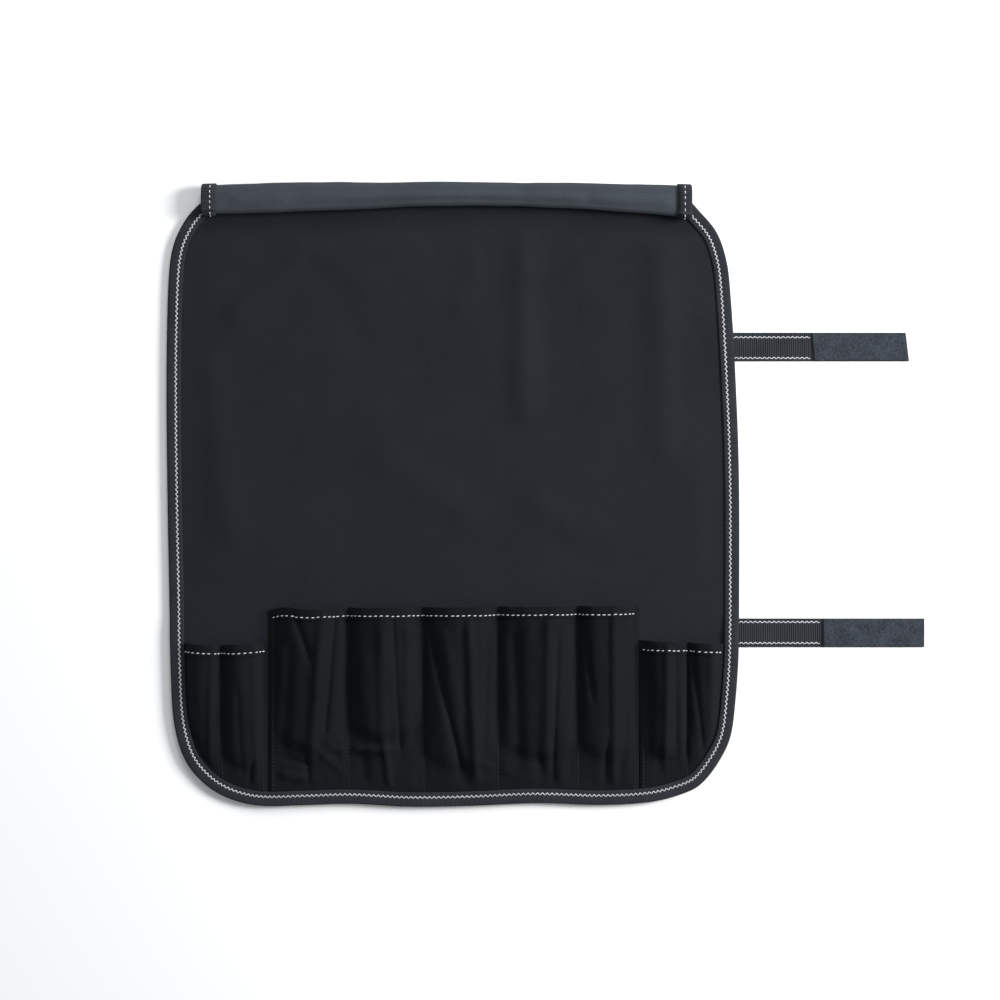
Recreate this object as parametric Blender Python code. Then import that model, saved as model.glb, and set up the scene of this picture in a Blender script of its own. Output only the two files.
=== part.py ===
"""A chef knife roll lying open on its back, in metres, +Z up.

Two cloths with a taped edge, a closing flap rolled over the upper edge, nine pockets sewn from
three strips, and two webbing straps with hook tape. X runs across the open roll towards the
straps, Y from the pockets' lower edge to the flap.
"""

import math
from collections import namedtuple

import bmesh
import bpy
from mathutils import Vector

# Driving sizes
PANEL_WIDTH = 0.500
PANEL_LENGTH = 0.5445
CLOTH = 0.0011
WEBBING = 0.0011
WEBBING_WIDTH = 0.025
GAP = 0.0003
BINDING_SHOWS = 0.0126
ROLL_INSIDE = 0.0008
HEM = 0.0105
POCKET_RISE = 0.0165
SEAM_MARGIN = 0.0034
STRAP_HIDDEN = 0.055
LOOP_LENGTH = 0.100
LOOP_ACROSS = 0.10

# Sizes that follow from them
HALF_WIDTH = PANEL_WIDTH / 2
TUCK = 2 * WEBBING
MARGIN = BINDING_SHOWS + 0.0014
HALF_STACK = CLOTH + GAP / 2
HALF_BOUND = HALF_STACK + GAP + WEBBING
STACK_LEVEL = HALF_BOUND
LINING_TOP = STACK_LEVEL + HALF_STACK
POCKET_LEVEL = LINING_TOP + GAP
ROLL_RADIUS = HALF_BOUND + ROLL_INSIDE
FOLD_RADIUS = ROLL_RADIUS + HALF_BOUND + GAP
STRAP_LIFT = WEBBING + GAP
STRAP_FLAT = WEBBING_WIDTH / 2 + 0.0025
STRAP_REACH = 0.040

Knot = namedtuple("Knot", "across up")
FlapRow = namedtuple("FlapRow", "across top low")
Fold = namedtuple("Fold", "across up to_across to_up height width")
Pocket = namedtuple("Pocket", "crest rise foot")
Strip = namedtuple("Strip", "name seams hem pockets joined")
Strap = namedtuple("Strap", "name up end slant tape")

# The panel's edge, from the flap's left end round the bottom to the flap's right end.
# Across is a share of half the width, up a share of the length.
OUTLINE = [
    Knot(-0.8741, 0.9695), Knot(-0.8986, 0.9599), Knot(-0.9336, 0.9406), Knot(-0.9720, 0.9053),
    Knot(-0.9895, 0.8636), Knot(-0.9980, 0.7670), Knot(-1.0000, 0.6520), Knot(-0.9965, 0.4976),
    Knot(-0.9895, 0.3242), Knot(-0.9840, 0.2087), Knot(-0.9720, 0.1316), Knot(-0.9336, 0.0738),
    Knot(-0.8636, 0.0353), Knot(-0.7797, 0.0128), Knot(-0.6748, 0.0016), Knot(-0.5175, 0.0026),
    Knot(-0.3600, 0.0046), Knot(-0.1503, 0.0000), Knot(0.0594, 0.0014), Knot(0.2937, 0.0058),
    Knot(0.5140, 0.0030), Knot(0.6888, 0.0075), Knot(0.7937, 0.0193), Knot(0.8636, 0.0353),
    Knot(0.9301, 0.0738), Knot(0.9685, 0.1124), Knot(0.9860, 0.1701), Knot(0.9965, 0.2472),
    Knot(1.0000, 0.4591), Knot(0.9965, 0.5746), Knot(0.9860, 0.6902), Knot(0.9685, 0.8250),
    Knot(0.9545, 0.8764), Knot(0.9196, 0.9213), Knot(0.8497, 0.9599), Knot(0.8322, 0.9690),
]

# The flap's band: where its upper fold and its rolled lower edge lie, as shares of the length.
FLAP_ENDS = (-0.8741, 0.8322)
FLAP = [
    FlapRow(-0.8741, 0.9944, 0.9470), FlapRow(-0.5350, 0.9984, 0.9518),
    FlapRow(-0.2500, 0.9996, 0.9575), FlapRow(0.0000, 1.0000, 0.9613),
    FlapRow(0.2700, 0.9990, 0.9585), FlapRow(0.5140, 0.9976, 0.9530),
    FlapRow(0.8322, 0.9936, 0.9420),
]

# Soft creases of the two cloths above the pockets, ends as shares, height and width in metres.
FOLDS = [
    Fold(-0.755, 0.793, -0.524, 0.884, 0.0022, 0.014),
    Fold(-0.524, 0.884, -0.140, 0.912, 0.0018, 0.013),
    Fold(0.245, 0.930, 0.245, 0.640, 0.0024, 0.016),
    Fold(0.100, 0.860, 0.030, 0.800, 0.0012, 0.016),
    Fold(0.720, 0.890, 0.740, 0.580, 0.0020, 0.020),
    Fold(-0.850, 0.700, -0.780, 0.450, 0.0014, 0.020),
    Fold(-0.250, 0.560, 0.050, 0.470, 0.0014, 0.022),
    Fold(0.300, 0.480, 0.560, 0.420, 0.0012, 0.020),
]

# The middle strip's hem, as it runs over its pockets.
MIDDLE_HEM = (
    Knot(-0.66, 0.3114), Knot(-0.5874, 0.3200), Knot(-0.50, 0.3175), Knot(-0.3951, 0.3194),
    Knot(-0.1014, 0.3202), Knot(0.3741, 0.3221), Knot(0.6189, 0.3230), Knot(0.66, 0.3268),
)

# The sewn strips: seams across, hem line, and each pocket's crest and rises as shares.
# The middle strip is two lengths that meet at a seam, the joined side of each.
STRIPS = [
    Strip(
        "pocket_strip_left",
        (None, -0.8042, -0.6608),
        (Knot(-1.00, 0.2650), Knot(-0.8042, 0.2596), Knot(-0.65, 0.2648)),
        (Pocket(0.55, 0.78, 0.80), Pocket(0.50, 0.80, 1.00)),
        "",
    ),
    Strip(
        "pocket_strip_middle_left",
        (-0.6276, -0.3636, -0.1014),
        MIDDLE_HEM,
        (Pocket(0.59, 1.00, 0.90), Pocket(0.42, 0.98, 1.15)),
        "right",
    ),
    Strip(
        "pocket_strip_middle_right",
        (-0.1014, 0.1573, 0.4371, 0.6346),
        MIDDLE_HEM,
        (Pocket(0.46, 1.00, 1.00), Pocket(0.54, 1.02, 0.95), Pocket(0.48, 0.95, 1.00)),
        "left",
    ),
    Strip(
        "pocket_strip_right",
        (0.6643, 0.8182, None),
        (Knot(0.64, 0.2673), Knot(0.7762, 0.2648), Knot(1.00, 0.2600)),
        (Pocket(0.50, 0.82, 1.00), Pocket(0.47, 0.72, 0.80)),
        "",
    ),
]

# How a pocket rises from its lower seam to its mouth, and from a side seam to its crest.
RISE_UP = [(0.0, 0.0), (0.08, 0.34), (0.20, 0.62), (0.38, 0.80), (0.60, 0.92), (0.80, 0.98)]
RISE_ACROSS = [(0.0, 0.0), (0.30, 0.56), (0.64, 0.89), (1.0, 1.0)]

# The straps: centre line, free end and start of the hook tape as shares, end slant in metres.
STRAPS = [
    Strap("upper", 0.7369, 1.5885, 0.0030, 1.2590),
    Strap("lower", 0.2782, 1.6479, 0.0, 1.2940),
]

MATERIALS = {
    "shell_cloth": ((0.066, 0.074, 0.086, 1.0), 0.90),
    "lining_cloth": ((0.024, 0.027, 0.032, 1.0), 0.88),
    "pocket_cloth": ((0.019, 0.021, 0.025, 1.0), 0.85),
    "webbing": ((0.030, 0.033, 0.038, 1.0), 0.78),
    "hook_tape": ((0.050, 0.057, 0.070, 1.0), 0.97),
    "loop_tape": ((0.028, 0.031, 0.036, 1.0), 0.97),
}


def clear_scene():
    for item in list(bpy.data.objects):
        bpy.data.objects.remove(item, do_unlink=True)


def material(name):
    found = bpy.data.materials.get(name)
    if found:
        return found
    colour, roughness = MATERIALS[name]
    made = bpy.data.materials.new(name)
    made.use_nodes = True
    shader = made.node_tree.nodes["Principled BSDF"]
    shader.inputs["Base Color"].default_value = colour
    shader.inputs["Roughness"].default_value = roughness
    shader.inputs["Metallic"].default_value = 0.0
    made.diffuse_color = colour
    return made


def clamp(value, low=0.0, high=1.0):
    return max(low, min(high, value))


def blend(a, b, t):
    return a + (b - a) * t


def eased(t):
    t = clamp(t)
    return t * t * (3 - 2 * t)


def smooth_value(rows, at):
    """The value at a place of a smooth line through (place, value) rows."""
    places = [row[0] for row in rows]
    values = [row[1] for row in rows]
    last = len(rows) - 1
    i = 0
    while i < last - 1 and at > places[i + 1]:
        i += 1
    slopes = []
    for k in (i, i + 1):
        a, b = max(k - 1, 0), min(k + 1, last)
        slopes.append((values[b] - values[a]) / (places[b] - places[a]))
    span = places[i + 1] - places[i]
    t = clamp((at - places[i]) / span)
    return (
        values[i] * (2 * t**3 - 3 * t**2 + 1)
        + values[i + 1] * (3 * t**2 - 2 * t**3)
        + slopes[0] * span * (t**3 - 2 * t**2 + t)
        + slopes[1] * span * (t**3 - t**2)
    )


class Rim:
    """The panel's outer edge as close points, each with the direction that leads inwards."""

    STEPS = 12

    def __init__(self):
        knots = [Vector((k.across * HALF_WIDTH, k.up * PANEL_LENGTH)) for k in OUTLINE]
        lengths = [0.0]
        for a, b in zip(knots, knots[1:]):
            lengths.append(lengths[-1] + (b - a).length)
        count = self.STEPS * (len(knots) - 1)
        places = [lengths[-1] * i / count for i in range(count + 1)]
        xs = list(zip(lengths, [k.x for k in knots]))
        ys = list(zip(lengths, [k.y for k in knots]))
        self.points = [Vector((smooth_value(xs, s), smooth_value(ys, s))) for s in places]
        self.inward = []
        for i in range(count + 1):
            along = self.points[min(i + 1, count)] - self.points[max(i - 1, 0)]
            self.inward.append(Vector((-along.y, along.x)).normalized())
        self.count = count
        self.low_left = min(range(count // 2), key=lambda i: abs(self.points[i].y - 0.0005))
        self.middle = min(range(count + 1), key=lambda i: abs(self.points[i].x))

    def at(self, place, inset):
        """The point at a fractional index, moved inwards by inset."""
        i = int(clamp(place, 0, self.count - 1e-6))
        t = place - i
        point = self.points[i].lerp(self.points[i + 1], t)
        inward = self.inward[i].lerp(self.inward[i + 1], t).normalized()
        return point + inward * inset

    def find(self, first, last, axis, value, inset):
        """The fractional index where the inset edge passes a value on an axis."""
        step = 1 if last > first else -1
        before = self.at(first, inset)[axis] - value
        for i in range(first + step, last + step, step):
            after = self.at(i, inset)[axis] - value
            if before == 0 or before * after < 0:
                return i - step + step * before / (before - after)
            before = after
        return float(last)

    def side(self, y, inset, right):
        """Where the inset left or right edge is at a height, as a fractional index."""
        if right:
            return self.find(self.count, self.middle, 1, y, inset)
        return self.find(0, self.middle, 1, y, inset)

    def bottom(self, x, inset):
        """Where the inset lower edge is at x, as a fractional index."""
        if x < 0:
            return self.find(self.middle, 0, 0, x, inset)
        return self.find(self.middle, self.count, 0, x, inset)


clear_scene()
RIM = Rim()
COLUMNS = 14
COLUMN_STEP = (PANEL_WIDTH - 2 * TUCK - 2 * MARGIN) / COLUMNS


def strap_edge(strap):
    """Where the panel's right edge crosses a strap's centre line."""
    return RIM.at(RIM.side(strap.up * PANEL_LENGTH, 0.0, True), 0.0).x


EDGES = {strap.name: strap_edge(strap) for strap in STRAPS}


def lift(x, y):
    """How far the panel's edge is raised where a strap passes under it."""
    most = 0.0
    for strap in STRAPS:
        away = abs(y - strap.up * PANEL_LENGTH)
        along = clamp((STRAP_REACH - away) / (STRAP_REACH - STRAP_FLAT))
        inset = EDGES[strap.name] - x
        inwards = clamp(1 - (inset - MARGIN - TUCK) / COLUMN_STEP)
        most = max(most, STRAP_LIFT * along * inwards)
    return most


def crease(x, y):
    """How far the cloth's soft folds rise above the pockets."""
    near = min(x + HALF_WIDTH, HALF_WIDTH - x) - MARGIN
    inside = eased(near / 0.030)
    inside *= eased((y / PANEL_LENGTH - 0.335) / 0.05) * eased((0.93 - y / PANEL_LENGTH) / 0.04)
    height = 0.0
    for fold in FOLDS:
        a = Vector((fold.across * HALF_WIDTH, fold.up * PANEL_LENGTH))
        b = Vector((fold.to_across * HALF_WIDTH, fold.to_up * PANEL_LENGTH))
        t = clamp((Vector((x, y)) - a).dot(b - a) / (b - a).length_squared)
        off = (Vector((x, y)) - a.lerp(b, t)).length
        height += fold.height * math.exp(-((off / fold.width) ** 2))
    return height * inside


def flap_top(x):
    return PANEL_LENGTH * smooth_value([(r.across * HALF_WIDTH, r.top) for r in FLAP], x)


def flap_low(x):
    return PANEL_LENGTH * smooth_value([(r.across * HALF_WIDTH, r.low) for r in FLAP], x)


Station = namedtuple("Station", "run t")


def flap_stations(fold_steps, roll_steps):
    """Stops along the flap: top fold, band, rolled lower edge, and the part turned under."""
    stops = [Station("fold", i / fold_steps) for i in range(fold_steps + 1)]
    stops.append(Station("band", 0.5))
    stops += [Station("roll", i / roll_steps) for i in range(roll_steps + 1)]
    stops.append(Station("under", 1.0))
    return stops


def flap_point(station, x, out):
    """A point of the flap at x. Out is measured from the middle of the two cloths to the shell."""
    fold_y = flap_top(x) - FOLD_RADIUS - HALF_STACK
    roll_y = flap_low(x) + ROLL_RADIUS + HALF_STACK
    band_z = STACK_LEVEL + 2 * FOLD_RADIUS
    if station.run == "fold":
        angle = math.pi * (station.t - 0.5)
        radius = FOLD_RADIUS + out
        y = fold_y + radius * math.cos(angle)
        z = STACK_LEVEL + FOLD_RADIUS + radius * math.sin(angle)
    elif station.run == "band":
        y = blend(fold_y, roll_y, station.t)
        z = band_z + out
    elif station.run == "roll":
        angle = math.pi * (0.5 + station.t)
        radius = ROLL_RADIUS + out
        y = roll_y + radius * math.cos(angle)
        z = band_z - ROLL_RADIUS + radius * math.sin(angle)
    else:
        y = blend(roll_y, fold_y, 0.9 * station.t)
        z = band_z - 2 * ROLL_RADIUS - out
    return Vector((x, y, z))


def panel_rows():
    """Heights of the cloths' rows, as fractions that include every stop of the lifted edges."""
    rows = [0.0165, 0.033, 0.056, 0.086, 0.125, 0.168, 0.415, 0.475, 0.535, 0.597]
    rows += [0.845, 0.878, 0.908, 0.930, 0.950, 0.9695]
    rows = [share * PANEL_LENGTH for share in rows]
    for strap in STRAPS:
        for off in (-STRAP_REACH, -STRAP_FLAT, STRAP_FLAT, STRAP_REACH):
            rows.append(strap.up * PANEL_LENGTH + off)
    return sorted(rows)


def row_ends(y):
    if y >= OUTLINE[0].up * PANEL_LENGTH - 1e-6:
        return FLAP_ENDS[0] * HALF_WIDTH + TUCK, FLAP_ENDS[1] * HALF_WIDTH - TUCK
    left = RIM.at(RIM.side(y, TUCK, False), TUCK).x
    right = RIM.at(RIM.side(y, TUCK, True), TUCK).x
    return left, right


def row_columns(left, right):
    """The x of each column of a row: the margins under the binding, then even steps."""
    inner_left, inner_right = left + MARGIN, right - MARGIN
    inner = [blend(inner_left, inner_right, i / COLUMNS) for i in range(COLUMNS + 1)]
    return [left] + inner + [right]


def panel_cloth(low, high):
    """The two faces of one cloth, between two distances from the middle of both, shell outwards."""
    under, over = [], []
    bottom_left = RIM.at(RIM.bottom(-0.735 * HALF_WIDTH, TUCK), TUCK).x
    bottom_right = RIM.at(RIM.bottom(0.745 * HALF_WIDTH, TUCK), TUCK).x
    for side, out in ((under, high), (over, low)):
        row = []
        for x in row_columns(bottom_left, bottom_right):
            y = RIM.at(RIM.bottom(x, TUCK), TUCK).y
            row.append(Vector((x, y, STACK_LEVEL - out)))
        side.append(row)
        for y in panel_rows():
            row = []
            for x in row_columns(*row_ends(y)):
                row.append(Vector((x, y, STACK_LEVEL - out + lift(x, y) + crease(x, y))))
            side.append(row)
        ends = FLAP_ENDS[0] * HALF_WIDTH + TUCK, FLAP_ENDS[1] * HALF_WIDTH - TUCK
        for station in flap_stations(5, 5):
            side.append([flap_point(station, x, out) for x in row_columns(*ends)])
    return under, over


def finish(name, vertices, triangles, material_name):
    """One named object from points and faces, its faces turned outwards."""
    mesh = bpy.data.meshes.new(name)
    mesh.from_pydata([tuple(v) for v in vertices], [], triangles)
    shape = bmesh.new()
    shape.from_mesh(mesh)
    bmesh.ops.recalc_face_normals(shape, faces=shape.faces)
    shape.to_mesh(mesh)
    shape.free()
    mesh.materials.append(material(material_name))
    made = bpy.data.objects.new(name, mesh)
    bpy.context.collection.objects.link(made)
    return made


def layered_solid(name, under, over, material_name):
    """A closed sheet from two grids of points that have the same rows and columns."""
    rows, columns = len(under), len(under[0])
    vertices = [p for row in under for p in row] + [p for row in over for p in row]
    half = rows * columns
    faces = []
    for r in range(rows - 1):
        for c in range(columns - 1):
            a = r * columns + c
            b, d = a + 1, a + columns
            e = d + 1
            faces += [(a, b, e), (a, e, d), (a + half, e + half, b + half)]
            faces.append((a + half, d + half, e + half))
    loop = [c for c in range(columns)]
    loop += [r * columns + columns - 1 for r in range(1, rows)]
    loop += [(rows - 1) * columns + c for c in range(columns - 2, -1, -1)]
    loop += [r * columns for r in range(rows - 2, 0, -1)]
    for a, b in zip(loop, loop[1:] + loop[:1]):
        faces += [(a, b, b + half), (a, b + half, a + half)]
    return finish(name, vertices, faces, material_name)


# How the end of a folded tape is closed: the two sides, then the fold between them.
FLAP_CAP = [(1, 2, 3), (1, 3, 4), (0, 1, 4), (0, 4, 5), (0, 5, 6), (0, 6, 7)]
EDGE_CAP = [
    (3, 4, 5), (3, 5, 6), (2, 3, 6), (1, 2, 6), (1, 6, 7), (0, 1, 7), (0, 7, 8), (0, 8, 9),
]
PLATE_CAP = [(0, 1, 2), (0, 2, 3)]


def swept_solid(name, sections, cap, material_name):
    """A closed body from sections that have the same number of points."""
    size = len(sections[0])
    vertices = [p for section in sections for p in section]
    faces = []
    for i in range(len(sections) - 1):
        for k in range(size):
            a = i * size + k
            b = i * size + (k + 1) % size
            faces += [(a, b, b + size), (a, b + size, a + size)]
    last = (len(sections) - 1) * size
    for a, b, c in cap:
        faces += [(a, c, b), (last + a, last + b, last + c)]
    return finish(name, vertices, faces, material_name)


def hem_line(strip, x):
    return PANEL_LENGTH * smooth_value([(k.across * HALF_WIDTH, k.up) for k in strip.hem], x)


def side_pocket_height(right):
    """The height of the hem where a side strip runs under the binding."""
    strip = STRIPS[-1] if right else STRIPS[0]
    edge = HALF_WIDTH - MARGIN
    return hem_line(strip, edge if right else -edge)


def binding_roof(point, right, low):
    """The underside of the binding's upper side: higher where it covers a pocket strip too."""
    over_pocket = 1.0
    if not low:
        start = side_pocket_height(right) + 0.004
        over_pocket = clamp((start + 0.024 - point.y) / 0.024)
    return POCKET_LEVEL + (CLOTH + GAP) * over_pocket


def binding_profile(base, roof):
    """The folded tape's section as (inset, height) pairs, round at the fold."""
    bevel = 0.8 * WEBBING
    top = roof + WEBBING
    return [
        (bevel, base), (0.0, base + bevel), (0.0, top - bevel), (bevel, top),
        (BINDING_SHOWS, top), (BINDING_SHOWS, roof), (WEBBING, roof),
        (WEBBING, base + WEBBING), (BINDING_SHOWS, base + WEBBING), (BINDING_SHOWS, base),
    ]


def binding_places():
    """Fractional places round the rim: closer together on the corners, and at every stop."""
    stops = []
    for right in (False, True):
        start = side_pocket_height(right) + 0.004
        heights = [start, start + 0.024]
        if right:
            for strap in STRAPS:
                for off in (-STRAP_REACH, -STRAP_FLAT, STRAP_FLAT, STRAP_REACH):
                    heights.append(strap.up * PANEL_LENGTH + off)
        stops += [RIM.side(y, 0.0, right) for y in heights]
    stops.append(float(RIM.count))
    places = [0.0]
    walked, turned = 0.0, 0.0
    for i in range(1, RIM.count + 1):
        walked += (RIM.points[i] - RIM.points[i - 1]).length
        turned += RIM.inward[i].angle(RIM.inward[i - 1])
        along_bottom = abs(RIM.inward[i].y) > 0.7
        if walked > (0.022 if along_bottom else 0.042) or turned > math.radians(9):
            places.append(float(i))
            walked, turned = 0.0, 0.0
    places = [p for p in places if all(abs(p - s) > 1.6 for s in stops)]
    return sorted(places + stops)


def make_binding():
    sections = []
    for place in binding_places():
        right = place > RIM.middle
        point = RIM.at(place, 0.0)
        low = point.y < side_pocket_height(right)
        base = lift(RIM.at(place, MARGIN / 2).x, point.y) if right else 0.0
        roof = binding_roof(point, right, low) + base
        section = []
        for inset, z in binding_profile(base, roof):
            spot = RIM.at(place, inset)
            section.append(Vector((spot.x, spot.y, z)))
        sections.append(section)
    swept_solid("edge_binding", sections, EDGE_CAP, "webbing")


def make_flap_bindings():
    """The tape over the flap's two ends, from the panel round both folds."""
    start_y = (OUTLINE[0].up * PANEL_LENGTH) + 0.002
    profile = [
        (0.0, -HALF_BOUND), (0.0, HALF_BOUND), (BINDING_SHOWS, HALF_BOUND),
        (BINDING_SHOWS, HALF_BOUND - WEBBING), (WEBBING, HALF_BOUND - WEBBING),
        (WEBBING, WEBBING - HALF_BOUND), (BINDING_SHOWS, WEBBING - HALF_BOUND),
        (BINDING_SHOWS, -HALF_BOUND),
    ]
    for name, end, way in (("left", FLAP_ENDS[0], 1), ("right", FLAP_ENDS[1], -1)):
        sections = []
        spots = [(end * HALF_WIDTH + way * inset, out) for inset, out in profile]
        sections.append([Vector((x, start_y, STACK_LEVEL - out)) for x, out in spots])
        for station in flap_stations(5, 5):
            sections.append([flap_point(station, x, out) for x, out in spots])
        level_end = min(p.y for p in sections[-1])
        sections[-1] = [Vector((p.x, level_end, p.z)) for p in sections[-1]]
        swept_solid("flap_binding_" + name, sections, FLAP_CAP, "webbing")


class StripShape:
    """A strip's layout: seams and hem as curves, each pocket spread between two seams."""

    def __init__(self, strip):
        self.strip = strip
        self.bound_left = strip.seams[0] is None
        self.bound_right = strip.seams[-1] is None
        corner_left = RIM.bottom(-0.880 * HALF_WIDTH, MARGIN / 3)
        corner_right = RIM.bottom(0.885 * HALF_WIDTH, MARGIN / 3)
        self.corner = corner_right if self.bound_right else corner_left
        hem = side_pocket_height(self.bound_right)
        self.hem_place = RIM.side(hem, MARGIN, self.bound_right)

    def open_sides(self):
        """The sides that aren't joined to another length, left first, with whether each is bound."""
        sides = ((True, self.bound_left), (False, self.bound_right))
        return [side for side in sides if self.strip.joined != ("left" if side[0] else "right")]

    def bound(self, v, inset):
        """The seam or the margin along the panel's edge, from the corner to the hem."""
        return RIM.at(blend(self.corner, self.hem_place, v), inset)

    def seam(self, k, v):
        place = self.strip.seams[k]
        if place is None:
            return self.bound(v, MARGIN)
        x = place * HALF_WIDTH
        if self.strip.joined == "left" and k == 0:
            x += GAP / 2
        if self.strip.joined == "right" and k == len(self.strip.pockets):
            x -= GAP / 2
        low = RIM.at(RIM.bottom(x, MARGIN), MARGIN).y
        return Vector((x, blend(low, hem_line(self.strip, x), v)))

    def spread(self, k, t, v):
        """The point at t across pocket k and v up it."""
        left, right = self.seam(k, v), self.seam(k + 1, v)
        low_left, low_right = self.seam(k, 0), self.seam(k + 1, 0)
        top_left, top_right = self.seam(k, 1), self.seam(k + 1, 1)
        low_x = blend(low_left.x, low_right.x, t)
        top_x = blend(top_left.x, top_right.x, t)
        low = Vector((low_x, RIM.at(RIM.bottom(low_x, MARGIN), MARGIN).y))
        top = Vector((top_x, hem_line(self.strip, top_x)))
        point = left.lerp(right, t)
        point += (low - low_left.lerp(low_right, t)) * (1 - v)
        point += (top - top_left.lerp(top_right, t)) * v
        return point

    def row_shares(self):
        """Shares of the depth that get a row: the rise, the hem, and stops of a lifted edge."""
        hem_low = 1 - HEM / (self.seam(1, 1).y - self.seam(1, 0).y)
        stops = [hem_low, hem_low + 0.004, 1.0]
        if self.bound_right:
            for strap in STRAPS:
                for off in (-STRAP_REACH, -STRAP_FLAT):
                    place = RIM.side(strap.up * PANEL_LENGTH + off, MARGIN, True)
                    share = (place - self.corner) / (self.hem_place - self.corner)
                    if 0 < share < 0.99:
                        stops.append(share)
        risen = [v for v, _ in RISE_UP if all(abs(v - stop) > 0.06 for stop in stops)]
        return hem_low, sorted(risen + stops)


def across_shares(crest):
    """Places across a pocket with their heights: up to the crest, then down."""
    up = [(t * crest, h) for t, h in RISE_ACROSS]
    down = [(1 - t * (1 - crest), h) for t, h in reversed(RISE_ACROSS[:-1])]
    return up + down


def rise_at(v, foot):
    """The share of the mouth's rise at a height up the pocket."""
    level = 1.0
    for (v0, h0), (v1, h1) in zip(RISE_UP, RISE_UP[1:] + [(1.0, 1.0)]):
        if v <= v1:
            level = blend(h0, h1, (v - v0) / (v1 - v0))
            break
    return level * blend(foot, 1.0, v)


def make_strip(strip):
    shape = StripShape(strip)
    hem_low, ups = shape.row_shares()
    rows = []
    for v in ups:
        row = []
        for k, pocket in enumerate(strip.pockets):
            nominal = (shape.seam(k + 1, 1) - shape.seam(k, 1)).length
            local = (shape.seam(k + 1, v) - shape.seam(k, v)).length
            fit = min(1.0, local / nominal)
            shares = across_shares(pocket.crest)
            for t, height in shares if k == 0 else shares[1:]:
                spot = shape.spread(k, t, v)
                rise = POCKET_RISE * pocket.rise * rise_at(v, pocket.foot) * height * fit
                row.append(Vector((spot.x, spot.y, rise)))
        rows.append(row)
    add_margins(shape, ups, rows)
    thick = []
    for r, row in enumerate(rows):
        hem = r > 0 and ups[r - 1] > hem_low + 0.002
        thick.append([])
        for c in range(len(row)):
            covered = (shape.bound_left and c < 2) or (shape.bound_right and c > len(row) - 3)
            thick[-1].append(CLOTH * (1.6 if hem and not covered else 1.0))
    for row in rows:
        for p in row:
            raised = lift(p.x, p.y)
            p.z += POCKET_LEVEL + raised + (0.1 * raised if p.z == 0 else 0)
    over = offset_grid(rows, thick)
    if strip.joined:
        square_off(rows, over, thick, 0 if strip.joined == "left" else -1)
    layered_solid(strip.name, rows, over, "pocket_cloth")


def square_off(rows, over, thick, column):
    """Stands the strip's joined side upright, as thick there as beside it."""
    beside = 1 if column == 0 else -2
    for r, row in enumerate(rows):
        slope = row[beside] - row[column]
        even = math.hypot(slope.x, slope.y) / slope.length
        over[r][column] = row[column] + Vector((0, 0, thick[r][column] / max(even, 0.8)))


def add_margins(shape, ups, rows):
    """The flat cloth outside the seams: under the binding, or a narrow free edge."""
    strip = shape.strip
    lowest = []
    for p in rows[0]:
        place = RIM.bottom(p.x, MARGIN)
        lowest.append(place)
    if shape.bound_left:
        lowest[0] += 0.8
    if shape.bound_right:
        lowest[-1] -= 0.8
    base = []
    for place in lowest:
        spot = RIM.at(place, TUCK)
        base.append(Vector((spot.x, spot.y, 0.0)))
    for row, v in zip(rows, ups):
        for left, bound in shape.open_sides():
            near = row[0] if left else row[-1]
            if bound:
                share = v if v > 0 else 0.02
                spot = shape.bound(share, TUCK)
                spot.y = blend(spot.y, near.y, v)
            else:
                spot = Vector((near.x + (-SEAM_MARGIN if left else SEAM_MARGIN), near.y))
                if v > 0.5:
                    spot.y = blend(near.y, hem_line(strip, spot.x), (v - 0.5) * 2)
            flat = Vector((spot.x, spot.y, 0.0))
            if left:
                row.insert(0, flat)
            else:
                row.append(flat)
    for left, bound in shape.open_sides():
        if bound:
            spot = RIM.at(shape.corner, TUCK)
        else:
            near = base[0] if left else base[-1]
            spot = Vector((near.x + (-SEAM_MARGIN if left else SEAM_MARGIN), near.y))
        flat = Vector((spot.x, spot.y, 0.0))
        if left:
            base.insert(0, flat)
        else:
            base.append(flat)
    rows.insert(0, base)


def offset_grid(rows, thick):
    """The grid moved along its upward normals, evenly thick across its bends."""
    count, width = len(rows), len(rows[0])
    over = []
    for r in range(count):
        over.append([])
        for c in range(width):
            normals = []
            for dr, dc in ((0, 0), (-1, 0), (0, -1), (-1, -1)):
                i, j = r + dr, c + dc
                if 0 <= i < count - 1 and 0 <= j < width - 1:
                    a = rows[i + 1][j + 1] - rows[i][j]
                    b = rows[i + 1][j] - rows[i][j + 1]
                    n = a.cross(b)
                    if n.length > 1e-12:
                        normals.append(n.normalized() * (1 if n.z > 0 else -1))
            total = sum(normals, Vector((0, 0, 0))).normalized()
            even = sum(total.dot(n) for n in normals) / len(normals)
            over[-1].append(rows[r][c] + total * (thick[r][c] / max(even, 0.8)))
    return over


def flat_piece(name, corners, low, thickness, material_name):
    """A flat piece from its outline."""
    sections = []
    for z in (low, low + thickness):
        sections.append([Vector((x, y, z)) for x, y in corners])
    swept_solid(name, sections, PLATE_CAP, material_name)


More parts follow.
